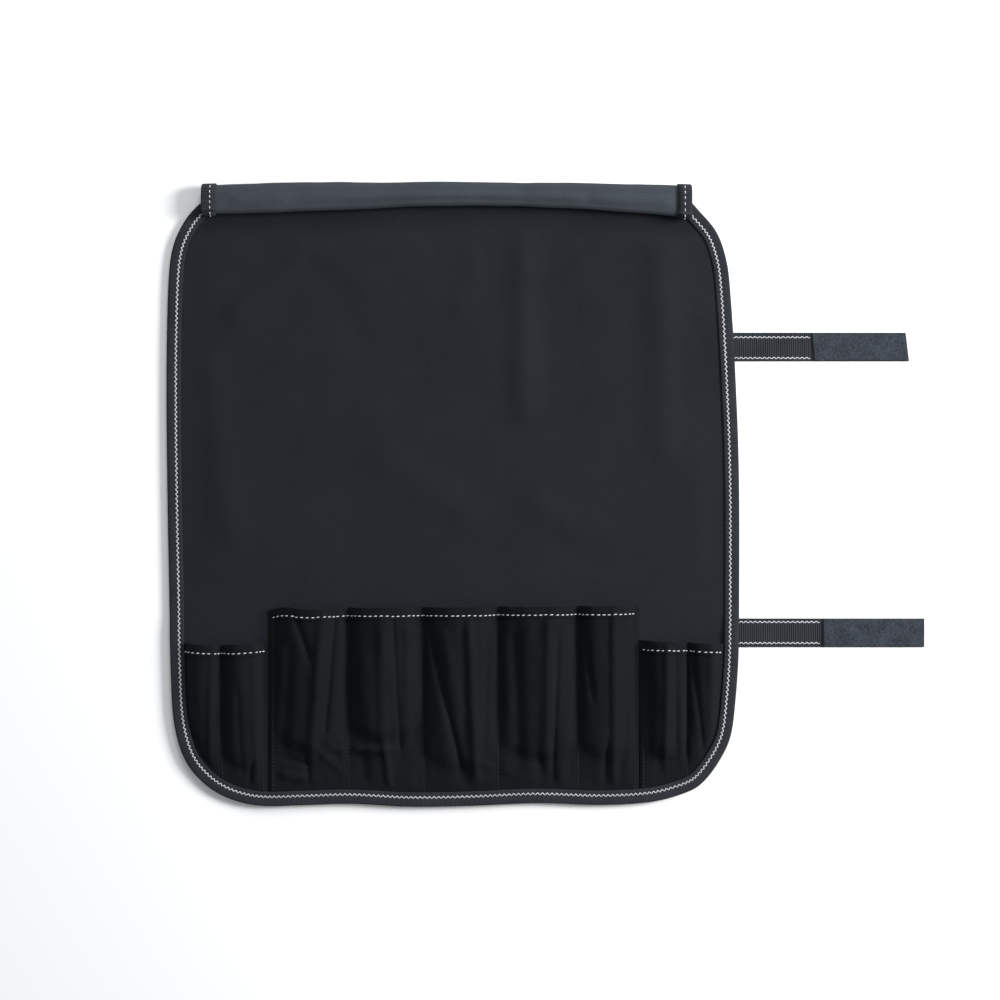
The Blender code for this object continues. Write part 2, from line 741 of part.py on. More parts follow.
def make_straps():
    for strap in STRAPS:
        y = strap.up * PANEL_LENGTH
        half = WEBBING_WIDTH / 2
        start = EDGES[strap.name] - STRAP_HIDDEN
        end = strap.end * HALF_WIDTH
        low_end, top_end = end + strap.slant / 2, end - strap.slant / 2
        corners = [(start, y - half), (low_end, y - half), (top_end, y + half), (start, y + half)]
        flat_piece("strap_" + strap.name, corners, 0.0, WEBBING, "webbing")
        tape = strap.tape * HALF_WIDTH
        back = 0.0006
        corners = [
            (tape + strap.slant / 3, y - half + back), (low_end - back, y - half + back),
            (top_end - back, y + half - back), (tape - strap.slant / 3, y + half - back),
        ]
        flat_piece("hook_tape_" + strap.name, corners, WEBBING + GAP, WEBBING, "hook_tape")
        middle = LOOP_ACROSS * HALF_WIDTH
        left, right = middle - LOOP_LENGTH / 2, middle + LOOP_LENGTH / 2
        corners = [(left, y - half), (right, y - half), (right, y + half), (left, y + half)]
        flat_piece("loop_tape_" + strap.name, corners, 0.0, WEBBING, "loop_tape")


def centre_on_origin():
    """Moves every piece so that the middle of the whole roll's underside is the origin."""
    pieces = [item for item in bpy.data.objects if item.type == "MESH"]
    points = [v.co for piece in pieces for v in piece.data.vertices]
    low = [min(p[i] for p in points) for i in range(3)]
    high = [max(p[i] for p in points) for i in range(3)]
    shift = Vector((-(low[0] + high[0]) / 2, -(low[1] + high[1]) / 2, -low[2]))
    for piece in pieces:
        for v in piece.data.vertices:
            v.co += shift
        piece.data.update()


def main():
    layered_solid("outer_shell", *panel_cloth(GAP / 2, HALF_STACK), "shell_cloth")
    layered_solid("lining", *panel_cloth(-HALF_STACK, -GAP / 2), "lining_cloth")
    make_binding()
    make_flap_bindings()
    for strip in STRIPS:
        make_strip(strip)
    make_straps()
    centre_on_origin()


main()
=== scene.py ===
import math
from collections import namedtuple

import bmesh
import bpy
import numpy as np
from bpy.props import FloatProperty, FloatVectorProperty, PointerProperty
from mathutils import Matrix, Vector, noise


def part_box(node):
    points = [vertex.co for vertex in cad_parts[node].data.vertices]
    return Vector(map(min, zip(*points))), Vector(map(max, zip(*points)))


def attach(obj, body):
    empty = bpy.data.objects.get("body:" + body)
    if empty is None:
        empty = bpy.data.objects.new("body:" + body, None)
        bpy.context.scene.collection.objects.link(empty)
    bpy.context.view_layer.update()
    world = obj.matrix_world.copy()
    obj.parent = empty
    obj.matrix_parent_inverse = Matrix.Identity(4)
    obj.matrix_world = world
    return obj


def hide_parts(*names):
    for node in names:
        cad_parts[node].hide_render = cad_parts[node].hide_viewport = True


bl_info = {
    "name": "Knife roll",
    "version": (1, 0, 0),
    "blender": (4, 5, 0),
    "location": "3D View > Sidebar > Knife Roll",
    "description": "Models an open chef knife roll with its cloth, tape, straps and stitching",
    "category": "Object",
}

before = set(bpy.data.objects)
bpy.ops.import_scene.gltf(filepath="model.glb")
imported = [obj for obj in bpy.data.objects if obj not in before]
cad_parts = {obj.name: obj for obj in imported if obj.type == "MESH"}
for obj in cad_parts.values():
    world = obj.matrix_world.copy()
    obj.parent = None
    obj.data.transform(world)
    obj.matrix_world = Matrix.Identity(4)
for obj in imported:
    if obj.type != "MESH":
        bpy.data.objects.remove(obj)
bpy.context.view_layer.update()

# Sizes of the solids, in metres
PANEL_WIDTH = 0.500
PANEL_LENGTH = 0.5445
CLOTH = 0.0011
WEBBING = 0.0011
WEBBING_WIDTH = 0.025
GAP = 0.0003
BINDING_SHOWS = 0.0126
ROLL_INSIDE = 0.0008
HEM = 0.0105
POCKET_RISE = 0.0165
SEAM_MARGIN = 0.0034
STRAP_HIDDEN = 0.055
LOOP_LENGTH = 0.100
LOOP_ACROSS = 0.10
HALF_WIDTH = PANEL_WIDTH / 2
TUCK = 2 * WEBBING
MARGIN = BINDING_SHOWS + 0.0014
HALF_STACK = CLOTH + GAP / 2
HALF_BOUND = HALF_STACK + GAP + WEBBING
STACK_LEVEL = HALF_BOUND
LINING_TOP = STACK_LEVEL + HALF_STACK
POCKET_LEVEL = LINING_TOP + GAP
ROLL_RADIUS = HALF_BOUND + ROLL_INSIDE
FOLD_RADIUS = ROLL_RADIUS + HALF_BOUND + GAP
STRAP_LIFT = WEBBING + GAP
STRAP_FLAT = WEBBING_WIDTH / 2 + 0.0025
STRAP_REACH = 0.040

# Where the panel's lower left corner of its box lies in the row's frame
SHIFT_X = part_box("edge_binding")[0][0] + HALF_WIDTH
SHIFT_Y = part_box("edge_binding")[0][1]

Knot = namedtuple("Knot", "across up")
FlapRow = namedtuple("FlapRow", "across top low")
Fold = namedtuple("Fold", "across up to_across to_up height width")
Pocket = namedtuple("Pocket", "crest rise foot toe")
Strip = namedtuple("Strip", "name seams hem pockets")
Strap = namedtuple("Strap", "name up end slant tape low_line top_line")
Station = namedtuple("Station", "run t")

# Steps of the modelled grids
LINING_STEP = 0.0034
SHELL_STEP = 0.0038
POCKET_STEP_UP = 0.0023
POCKET_STEP_ACROSS = 0.0017
TAPE_STEPS = 560
PLATE_STEP = 0.004

# Lines of the stitching, measured from the edges, and the small stitches' sizes
ZIGZAG_LINE = 0.0082
HEM_LINE = 0.0074
FLAP_LINE_LEFT = 0.0078
FLAP_LINE_RIGHT = 0.0064
FLAP_STITCH = 0.0026
SEAM_STITCH = 0.0024
SEAM_PITCH = 0.0034
SEAM_THREAD = 0.0007
ZIGZAG_LOW = 0.02
ZIGZAG_HIGH = 0.35
POCKET_LIFT = 1.1
HEM_THICKER = 0.6

# The panel's edge, from the flap's left end round the bottom to the flap's right end
OUTLINE = [
    Knot(-0.8741, 0.9695), Knot(-0.8986, 0.9599), Knot(-0.9336, 0.9406), Knot(-0.9720, 0.9053),
    Knot(-0.9895, 0.8636), Knot(-0.9980, 0.7670), Knot(-1.0000, 0.6520), Knot(-0.9965, 0.4976),
    Knot(-0.9895, 0.3242), Knot(-0.9840, 0.2087), Knot(-0.9720, 0.1316), Knot(-0.9336, 0.0738),
    Knot(-0.8636, 0.0353), Knot(-0.7797, 0.0128), Knot(-0.6748, 0.0016), Knot(-0.5175, 0.0026),
    Knot(-0.3600, 0.0046), Knot(-0.1503, 0.0000), Knot(0.0594, 0.0014), Knot(0.2937, 0.0058),
    Knot(0.5140, 0.0030), Knot(0.6888, 0.0075), Knot(0.7937, 0.0193), Knot(0.8636, 0.0353),
    Knot(0.9301, 0.0738), Knot(0.9685, 0.1124), Knot(0.9860, 0.1701), Knot(0.9965, 0.2472),
    Knot(1.0000, 0.4591), Knot(0.9965, 0.5746), Knot(0.9860, 0.6902), Knot(0.9685, 0.8250),
    Knot(0.9545, 0.8764), Knot(0.9196, 0.9213), Knot(0.8497, 0.9599), Knot(0.8322, 0.9690),
]

# The flap's band: its upper fold and its rolled lower edge
FLAP_ENDS = (-0.8741, 0.8322)
FLAP = [
    FlapRow(-0.8741, 0.9944, 0.9470), FlapRow(-0.5350, 0.9984, 0.9518),
    FlapRow(-0.2500, 0.9996, 0.9575), FlapRow(0.0000, 1.0000, 0.9613),
    FlapRow(0.2700, 0.9990, 0.9585), FlapRow(0.5140, 0.9976, 0.9530),
    FlapRow(0.8322, 0.9936, 0.9420),
]

# Soft creases of the two cloths above the pockets
FOLDS = [
    Fold(-0.755, 0.793, -0.524, 0.884, 0.0022, 0.014),
    Fold(-0.524, 0.884, -0.140, 0.912, 0.0018, 0.013),
    Fold(0.245, 0.930, 0.245, 0.640, 0.0024, 0.016),
    Fold(0.100, 0.860, 0.030, 0.800, 0.0012, 0.016),
    Fold(0.720, 0.890, 0.740, 0.580, 0.0020, 0.020),
    Fold(-0.850, 0.700, -0.780, 0.450, 0.0014, 0.020),
    Fold(-0.250, 0.560, 0.050, 0.470, 0.0014, 0.022),
    Fold(0.300, 0.480, 0.560, 0.420, 0.0012, 0.020),
]

STRIPS = [
    Strip(
        "pocket_strip_left",
        (None, -0.8042, -0.6608),
        (Knot(-1.00, 0.2650), Knot(-0.8042, 0.2596), Knot(-0.65, 0.2648)),
        (Pocket(0.55, 0.78, 0.80, 0.02), Pocket(0.50, 0.80, 1.00, 0.10)),
    ),
    Strip(
        "pocket_strip_middle",
        (-0.6276, -0.3636, -0.1014, 0.1573, 0.4371, 0.6346),
        (
            Knot(-0.66, 0.3114), Knot(-0.5874, 0.3200), Knot(-0.50, 0.3175), Knot(-0.3951, 0.3194),
            Knot(-0.1014, 0.3202), Knot(0.3741, 0.3221), Knot(0.6189, 0.3230), Knot(0.66, 0.3268),
        ),
        (
            Pocket(0.59, 1.00, 0.90, 0.17), Pocket(0.42, 0.98, 1.15, 0.25),
            Pocket(0.46, 1.00, 1.00, 0.09), Pocket(0.54, 1.02, 0.95, 0.13),
            Pocket(0.48, 0.95, 1.00, 0.14),
        ),
    ),
    Strip(
        "pocket_strip_right",
        (0.6643, 0.8182, None),
        (Knot(0.64, 0.2673), Knot(0.7762, 0.2648), Knot(1.00, 0.2600)),
        (Pocket(0.50, 0.82, 1.00, 0.15), Pocket(0.47, 0.72, 0.80, 0.05)),
    ),
]

RISE_UP = [(0.0, 0.0), (0.08, 0.34), (0.20, 0.62), (0.38, 0.80), (0.60, 0.92), (0.80, 0.98)]
RISE_ACROSS = [(0.0, 0.0), (0.30, 0.56), (0.64, 0.89), (1.0, 1.0)]

STRAPS = [
    Strap("upper", 0.7369, 1.5885, 0.0030, 1.2590, 0.0027, 0.0042),
    Strap("lower", 0.2782, 1.6479, 0.0, 1.2940, 0.0034, 0.0032),
]

CRINKLED = 2.1
CRINKLE_WIDTH = 0.78
# Ridges and grooves of the pocket cloth: both ends in pixels of the photograph's frame,
# height in metres (below nought for a groove) and half width in metres
Crinkle = namedtuple("Crinkle", "x y to_x to_y height width")
CRINKLES = [
    Crinkle(214, 655, 212, 745, 0.0010, 0.0030), Crinkle(222, 655, 216, 720, -0.0010, 0.0030),
    Crinkle(256, 655, 258, 765, 0.0012, 0.0045), Crinkle(253, 768, 250, 786, -0.0011, 0.0025),
    Crinkle(240, 700, 243, 760, -0.0008, 0.0035), Crinkle(270, 772, 268, 790, 0.0010, 0.0030),
    Crinkle(299, 622, 310, 652, -0.0014, 0.0040), Crinkle(324, 622, 313, 750, 0.0016, 0.0050),
    Crinkle(335, 625, 327, 722, -0.0015, 0.0035), Crinkle(292, 655, 286, 740, -0.0012, 0.0060),
    Crinkle(283, 757, 304, 762, -0.0012, 0.0035), Crinkle(288, 774, 303, 777, 0.0012, 0.0040),
    Crinkle(308, 764, 310, 790, -0.0013, 0.0028), Crinkle(322, 752, 340, 768, 0.0010, 0.0040),
    Crinkle(354, 626, 358, 705, -0.0014, 0.0032), Crinkle(384, 630, 384, 740, 0.0012, 0.0065),
    Crinkle(394, 624, 400, 742, -0.0010, 0.0025), Crinkle(408, 630, 408, 735, 0.0010, 0.0045),
    Crinkle(345, 748, 386, 748, 0.0016, 0.0030), Crinkle(386, 748, 390, 786, 0.0014, 0.0030),
    Crinkle(343, 750, 348, 788, 0.0009, 0.0030), Crinkle(365, 760, 366, 788, -0.0012, 0.0060),
    Crinkle(429, 624, 466, 786, -0.0022, 0.0040), Crinkle(470, 630, 476, 770, 0.0018, 0.0045),
    Crinkle(446, 640, 458, 700, 0.0008, 0.0050), Crinkle(486, 764, 504, 770, 0.0012, 0.0035),
    Crinkle(487, 640, 484, 740, -0.0010, 0.0045), Crinkle(516, 640, 520, 750, -0.0016, 0.0070),
    Crinkle(548, 628, 546, 750, 0.0014, 0.0050), Crinkle(557, 648, 553, 772, -0.0014, 0.0030),
    Crinkle(540, 760, 541, 790, -0.0012, 0.0050), Crinkle(562, 774, 560, 790, 0.0012, 0.0050),
    Crinkle(570, 640, 566, 740, 0.0008, 0.0040), Crinkle(584, 625, 592, 690, -0.0013, 0.0032),
    Crinkle(613, 624, 614, 780, 0.0015, 0.0040), Crinkle(626, 640, 625, 745, -0.0009, 0.0040),
    Crinkle(606, 754, 604, 790, -0.0013, 0.0030), Crinkle(648, 655, 650, 740, -0.0012, 0.0050),
    Crinkle(666, 655, 665, 745, 0.0012, 0.0032), Crinkle(674, 660, 675, 740, -0.0009, 0.0026),
    Crinkle(682, 655, 681, 745, 0.0009, 0.0026), Crinkle(659, 760, 659, 782, -0.0012, 0.0045),
    Crinkle(692, 652, 702, 742, -0.0012, 0.0030), Crinkle(711, 655, 711, 725, 0.0010, 0.0050),
]

# Faint waves of the panel's cloth: place and reach in pixels, height in metres
Swell = namedtuple("Swell", "x y reach_x reach_y turn height")
SWELLS = [
    Swell(290, 400, 60, 120, 12, 0.0010), Swell(420, 470, 80, 60, -20, 0.0009),
    Swell(485, 266, 9, 22, 8, -0.0009), Swell(470, 292, 16, 9, 30, -0.0008),
    Swell(560, 360, 20, 130, 4, -0.0009), Swell(600, 500, 60, 60, 25, 0.0010),
    Swell(665, 330, 20, 90, -6, 0.0012), Swell(330, 260, 60, 14, -28, 0.0010),
    Swell(240, 520, 40, 60, 10, 0.0009), Swell(520, 560, 90, 18, 3, -0.0008),
    Swell(360, 340, 14, 60, 25, -0.0007), Swell(700, 520, 14, 70, 2, 0.0009),
]

PIXEL = PANEL_WIDTH / 572.0
PIXEL_MIDDLE = 453.0
PIXEL_LOWEST = 806.0
PICTURE_SIDE = 1000.0


def pixel_x(x):
    return (x - PIXEL_MIDDLE) * PIXEL


def pixel_y(y):
    return (PIXEL_LOWEST - y) * PIXEL


class RollSizes(bpy.types.PropertyGroup):
    """Sizes of what is drawn on the solids."""

    ribs: FloatProperty(
        name="Tape ribs", description="Distance between the ribs of the edge tape",
        default=0.0011, min=0.0005, max=0.005, unit="LENGTH",
    )
    strap_ribs: FloatProperty(
        name="Strap ribs", description="Distance between the ribs of the strap webbing",
        default=0.0019, min=0.0005, max=0.005, unit="LENGTH",
    )
    zigzag_pitch: FloatProperty(
        name="Zigzag pitch", description="Length of one zigzag of the edge stitching",
        default=0.0041, min=0.002, max=0.01, unit="LENGTH",
    )
    zigzag_width: FloatProperty(
        name="Zigzag width", description="Width of the zigzag stitching",
        default=0.0019, min=0.0005, max=0.006, unit="LENGTH",
    )
    thread: FloatProperty(
        name="Thread", description="Thickness of the white sewing thread",
        default=0.0010, min=0.0002, max=0.002, unit="LENGTH",
    )
    stitch_pitch: FloatProperty(
        name="Stitch pitch", description="Distance between the hems' running stitches",
        default=0.0048, min=0.002, max=0.01, unit="LENGTH",
    )
    stitch_length: FloatProperty(
        name="Stitch length", description="Length of one running stitch that shows",
        default=0.0030, min=0.001, max=0.008, unit="LENGTH",
    )
    weave: FloatProperty(
        name="Weave", description="Distance between the threads of the cloth",
        default=0.00055, min=0.0002, max=0.003, unit="LENGTH",
    )


class RollColours(bpy.types.PropertyGroup):
    """Colours of the cloths, the tape and the thread."""

    shell: FloatVectorProperty(
        name="Outer cloth", description="Colour of the outer cloth", subtype="COLOR",
        default=(0.042, 0.049, 0.058), min=0.0, max=1.0,
    )
    lining: FloatVectorProperty(
        name="Lining", description="Colour of the lining", subtype="COLOR",
        default=(0.0135, 0.0160, 0.0198), min=0.0, max=1.0,
    )
    pockets: FloatVectorProperty(
        name="Pockets", description="Colour of the pocket cloth", subtype="COLOR",
        default=(0.0072, 0.0080, 0.0098), min=0.0, max=1.0,
    )
    webbing: FloatVectorProperty(
        name="Webbing", description="Colour of the edge tape and straps", subtype="COLOR",
        default=(0.025, 0.028, 0.033), min=0.0, max=1.0,
    )
    hook_tape: FloatVectorProperty(
        name="Hook tape", description="Colour of the fuzzy tape on the straps", subtype="COLOR",
        default=(0.034, 0.040, 0.050), min=0.0, max=1.0,
    )
    loop_tape: FloatVectorProperty(
        name="Loop tape", description="Colour of the tape under the panel", subtype="COLOR",
        default=(0.018, 0.020, 0.024), min=0.0, max=1.0,
    )
    thread: FloatVectorProperty(
        name="White thread", description="Colour of the white stitching", subtype="COLOR",
        default=(0.50, 0.51, 0.53), min=0.0, max=1.0,
    )
    dark_thread: FloatVectorProperty(
        name="Black thread", description="Colour of the seams between pockets", subtype="COLOR",
        default=(0.004, 0.0045, 0.0055), min=0.0, max=1.0,
    )


def clamp(value, low=0.0, high=1.0):
    return max(low, min(high, value))


def blend(a, b, t):
    return a + (b - a) * t


def eased(t):
    t = clamp(t)
    return t * t * (3 - 2 * t)


def smooth_value(rows, at):
    """The value at a place of a smooth line through (place, value) rows."""
    places = [row[0] for row in rows]
    values = [row[1] for row in rows]
    last = len(rows) - 1
    i = 0
    while i < last - 1 and at > places[i + 1]:
        i += 1
    slopes = []
    for k in (i, i + 1):
        a, b = max(k - 1, 0), min(k + 1, last)
        slopes.append((values[b] - values[a]) / (places[b] - places[a]))
    span = places[i + 1] - places[i]
    t = clamp((at - places[i]) / span)
    return (
        values[i] * (2 * t**3 - 3 * t**2 + 1)
        + values[i + 1] * (3 * t**2 - 2 * t**3)
        + slopes[0] * span * (t**3 - 2 * t**2 + t)
        + slopes[1] * span * (t**3 - t**2)
    )


class Rim:
    """The panel's outer edge as close points, each with the direction that leads inwards."""

    STEPS = 12

    def __init__(self):
        knots = [Vector((k.across * HALF_WIDTH, k.up * PANEL_LENGTH)) for k in OUTLINE]
        lengths = [0.0]
        for a, b in zip(knots, knots[1:]):
            lengths.append(lengths[-1] + (b - a).length)
        self.count = self.STEPS * (len(knots) - 1)
        places = [lengths[-1] * i / self.count for i in range(self.count + 1)]
        xs = list(zip(lengths, [k.x for k in knots]))
        ys = list(zip(lengths, [k.y for k in knots]))
        self.points = np.array([(smooth_value(xs, s), smooth_value(ys, s)) for s in places])
        along = np.gradient(self.points, axis=0)
        along /= np.linalg.norm(along, axis=1)[:, None]
        self.inward = np.stack([-along[:, 1], along[:, 0]], axis=1)
        steps = np.linalg.norm(np.diff(self.points, axis=0), axis=1)
        self.walk = np.concatenate([[0.0], np.cumsum(steps)])
        self.middle = int(np.argmin(np.abs(self.points[:, 0])))
        self.insets = {}

    def curve(self, inset):
        if inset not in self.insets:
            self.insets[inset] = self.points + self.inward * inset
        return self.insets[inset]

    def at(self, place, inset):
        """The point at a fractional index, moved inwards by inset."""
        i = int(clamp(place, 0, self.count - 1e-6))
        t = place - i
        point = self.points[i] * (1 - t) + self.points[i + 1] * t
        inward = self.inward[i] * (1 - t) + self.inward[i + 1] * t
        inward /= np.linalg.norm(inward)
        return point + inward * inset

    def find(self, first, last, axis, value, inset):
        """The fractional index where the inset edge first passes a value on an axis."""
        step = 1 if last > first else -1
        stop = last + step if last + step >= 0 else None
        line = self.curve(inset)[first:stop:step, axis]
        off = line - value
        passed = np.nonzero(off[:-1] * off[1:] <= 0)[0]
        if not len(passed):
            return float(last)
        k = int(passed[0])
        t = off[k] / (off[k] - off[k + 1]) if off[k] != off[k + 1] else 0.0
        return first + step * (k + t)

    def side(self, y, inset, right):
        if right:
            return self.find(self.count, self.middle, 1, y, inset)
        return self.find(0, self.middle, 1, y, inset)

    def bottom(self, x, inset):
        if x < 0:
            return self.find(self.middle, 0, 0, x, inset)
        return self.find(self.middle, self.count, 0, x, inset)

    def place_at_walk(self, walked):
        return float(np.interp(walked, self.walk, np.arange(self.count + 1)))


RIM = Rim()
COLUMN_STEP = (PANEL_WIDTH - 2 * TUCK - 2 * MARGIN) / 14
EDGES = {
    strap.name: RIM.at(RIM.side(strap.up * PANEL_LENGTH, 0.0, True), 0.0)[0] for strap in STRAPS
}


def lift(x, y):
    """How far the panel's edge is raised where a strap passes under it."""
    most = 0.0
    for strap in STRAPS:
        away = abs(y - strap.up * PANEL_LENGTH)
        if away < STRAP_REACH:
            along = clamp((STRAP_REACH - away) / (STRAP_REACH - STRAP_FLAT))
            inset = EDGES[strap.name] - x
            inwards = clamp(1 - (inset - MARGIN - TUCK) / COLUMN_STEP)
            most = max(most, STRAP_LIFT * along * inwards)
    return most


def crease(x, y):
    """How far the panel's cloth rises above the pockets, in soft folds and waves."""
    near = min(x + HALF_WIDTH, HALF_WIDTH - x) - MARGIN
    inside = eased(near / 0.030)
    inside *= eased((y / PANEL_LENGTH - 0.335) / 0.05) * eased((0.93 - y / PANEL_LENGTH) / 0.04)
    if inside <= 0:
        return 0.0
    height = 0.0
    for fold in FOLDS:
        ax, ay = fold.across * HALF_WIDTH, fold.up * PANEL_LENGTH
        bx, by = fold.to_across * HALF_WIDTH, fold.to_up * PANEL_LENGTH
        dx, dy = bx - ax, by - ay
        t = clamp(((x - ax) * dx + (y - ay) * dy) / (dx * dx + dy * dy))
        off = math.hypot(x - ax - dx * t, y - ay - dy * t)
        sharp = 0.75 * fold.width
        height = max(height, 1.35 * fold.height * math.exp(-((off / sharp) ** 2)))
    for swell in SWELLS:
        turn = math.radians(swell.turn)
        dx, dy = x - pixel_x(swell.x), y - pixel_y(swell.y)
        across = (dx * math.cos(turn) + dy * math.sin(turn)) / (swell.reach_x * PIXEL)
        up = (dy * math.cos(turn) - dx * math.sin(turn)) / (swell.reach_y * PIXEL)
        height += 1.3 * swell.height * math.exp(-across * across - up * up)
    ripple = noise.noise(Vector((x * 22, y * 16, 3.0))) * 0.0006
    ripple += noise.noise(Vector((x * 60, y * 52, 9.0))) * 0.00022
    return max(0.0, height + 0.0006 + ripple) * inside


def flap_top(x):
    return PANEL_LENGTH * smooth_value([(r.across * HALF_WIDTH, r.top) for r in FLAP], x)


def flap_low(x):
    return PANEL_LENGTH * smooth_value([(r.across * HALF_WIDTH, r.low) for r in FLAP], x)


def flap_stations(fold_steps, band_steps, roll_steps, under_steps):
    """Stops along the flap: top fold, band, rolled lower edge, and the part turned under."""
    stops = [Station("fold", i / fold_steps) for i in range(fold_steps + 1)]
    stops += [Station("band", i / band_steps) for i in range(1, band_steps)]
    stops += [Station("roll", i / roll_steps) for i in range(roll_steps + 1)]
    stops += [Station("under", i / under_steps) for i in range(1, under_steps + 1)]
    return stops


def flap_point(station, x, out):
    """A point of the flap at x. Out is measured from the middle of the two cloths to the shell."""
    fold_y = flap_top(x) - FOLD_RADIUS - HALF_STACK
    roll_y = flap_low(x) + ROLL_RADIUS + HALF_STACK
    band_z = STACK_LEVEL + 2 * FOLD_RADIUS
    if station.run == "fold":
        angle = math.pi * (station.t - 0.5)
        radius = FOLD_RADIUS + out
        y = fold_y + radius * math.cos(angle)
        z = STACK_LEVEL + FOLD_RADIUS + radius * math.sin(angle)
    elif station.run == "band":
        y = blend(fold_y, roll_y, station.t)
        z = band_z + out
    elif station.run == "roll":
        angle = math.pi * (0.5 + station.t)
        radius = ROLL_RADIUS + out
        y = roll_y + radius * math.cos(angle)
        z = band_z - ROLL_RADIUS + radius * math.sin(angle)
    else:
        y = blend(roll_y, fold_y, 0.9 * station.t)
        z = band_z - 2 * ROLL_RADIUS - out
    return Vector((x, y, z))


# Small dents of the flap: place and reach in pixels, depth in metres
Dent = namedtuple("Dent", "x y reach depth")
DENTS = [
    Dent(229, 203, 7, 0.0013), Dent(297, 199, 9, 0.0011),
    Dent(523, 196, 10, 0.0012), Dent(587, 200, 8, 0.0013),
]


def flap_relief(station, x, y):
    """How far the flap's cloth stands out of its even form: small dents and ripples."""
    where = {"fold": 0.0, "band": 1.0, "roll": 2.0, "under": 3.0}[station.run]
    ripple = noise.noise(Vector((x * 18, where + station.t, 1.0))) * 0.0007
    ripple += noise.noise(Vector((x * 55, (where + station.t) * 2.2, 5.0))) * 0.0003
    if station.run in ("band", "fold", "roll"):
        for dent in DENTS:
            away = math.hypot(x - pixel_x(dent.x), (y - pixel_y(dent.y)) * 1.2)
            away /= dent.reach * PIXEL
            ripple -= dent.depth * math.exp(-away * away)
    if station.run == "band":
        ripple += 0.0017 * math.sin(math.pi * station.t)
    ends = min(x - FLAP_ENDS[0] * HALF_WIDTH, FLAP_ENDS[1] * HALF_WIDTH - x) - BINDING_SHOWS
    return ripple * eased(ends / 0.012) * (0.4 if station.run == "under" else 1.0)


def hem_line(strip, x):
    return PANEL_LENGTH * smooth_value([(k.across * HALF_WIDTH, k.up) for k in strip.hem], x)


def side_pocket_height(right):
    strip = STRIPS[2] if right else STRIPS[0]
    edge = HALF_WIDTH - MARGIN
    return hem_line(strip, edge if right else -edge)


def placed(points):
    """The points in the row's frame."""
    return [(p[0] + SHIFT_X, p[1] + SHIFT_Y, p[2]) for p in points]


def keep(obj, material, slot, *nodes):
    """Gives a piece its material and its body, and hides the model's nodes that it stands for."""
    obj.data.materials.clear()
    obj.data.materials.append(material)
    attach(obj, "root")
    if nodes:
        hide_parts(*nodes)
    return obj


def linked(name, vertices, faces, uvs=None, smooth=True):
    """A new object from points and faces that point outwards, with a UV for each point."""
    mesh = bpy.data.meshes.new(name)
    mesh.from_pydata(placed(vertices), [], faces)
    if uvs is not None:
        layer = mesh.uv_layers.new(name="cloth")
        where = np.array(uvs, np.float32)
        corners = np.empty(len(mesh.loops), np.int32)
        mesh.loops.foreach_get("vertex_index", corners)
        layer.data.foreach_set("uv", where[corners].ravel())
    shape = bmesh.new()
    shape.from_mesh(mesh)
    bmesh.ops.recalc_face_normals(shape, faces=shape.faces)
    shape.to_mesh(mesh)
    shape.free()
    if smooth:
        mesh.polygons.foreach_set("use_smooth", [True] * len(mesh.polygons))
    made = bpy.data.objects.new(name, mesh)
    bpy.context.collection.objects.link(made)
    return made


def sheet_mesh(name, under, over, uvs):
    """A closed sheet from two grids of points that have the same rows and columns."""
    rows, columns = len(under), len(under[0])
    vertices = [p for row in under for p in row] + [p for row in over for p in row]
    flat_uvs = [uv for row in uvs for uv in row] * 2
    half = rows * columns
    faces = []
    for r in range(rows - 1):
        for c in range(columns - 1):
            a = r * columns + c
            b, d = a + 1, a + columns
            faces.append((a, d, d + 1, b))
            faces.append((a + half, b + half, d + 1 + half, d + half))
    loop = list(range(columns))
    loop += [r * columns + columns - 1 for r in range(1, rows)]
    loop += [(rows - 1) * columns + c for c in range(columns - 2, -1, -1)]
    loop += [r * columns for r in range(rows - 2, 0, -1)]
    for a, b in zip(loop, loop[1:] + loop[:1]):
        faces.append((a, b, b + half, a + half))
    return linked(name, vertices, faces, flat_uvs)


def swept_mesh(name, sections, uvs):
    """A closed body along sections that have the same number of points."""
    size = len(sections[0])
    vertices = [p for section in sections for p in section]
    flat_uvs = [uv for row in uvs for uv in row]
    faces = []
    for i in range(len(sections) - 1):
        for k in range(size):
            a = i * size + k
            b = i * size + (k + 1) % size
            faces.append((a, b, b + size, a + size))
    last = (len(sections) - 1) * size
    half = size // 2
    for k in range(half - 1):
        a, b, c, d = k, k + 1, size - 2 - k, size - 1 - k
        faces.append((a, d, c, b))
        faces.append((last + a, last + b, last + c, last + d))
    return linked(name, vertices, faces, flat_uvs)


def row_ends(y):
    if y >= OUTLINE[0].up * PANEL_LENGTH - 1e-6:
        return FLAP_ENDS[0] * HALF_WIDTH + TUCK, FLAP_ENDS[1] * HALF_WIDTH - TUCK
    left = RIM.at(RIM.side(y, TUCK, False), TUCK)[0]
    right = RIM.at(RIM.side(y, TUCK, True), TUCK)[0]
    return left, right


def even_places(low, high, step):
    count = max(2, int(round((high - low) / step)))
    return [blend(low, high, i / count) for i in range(count + 1)]


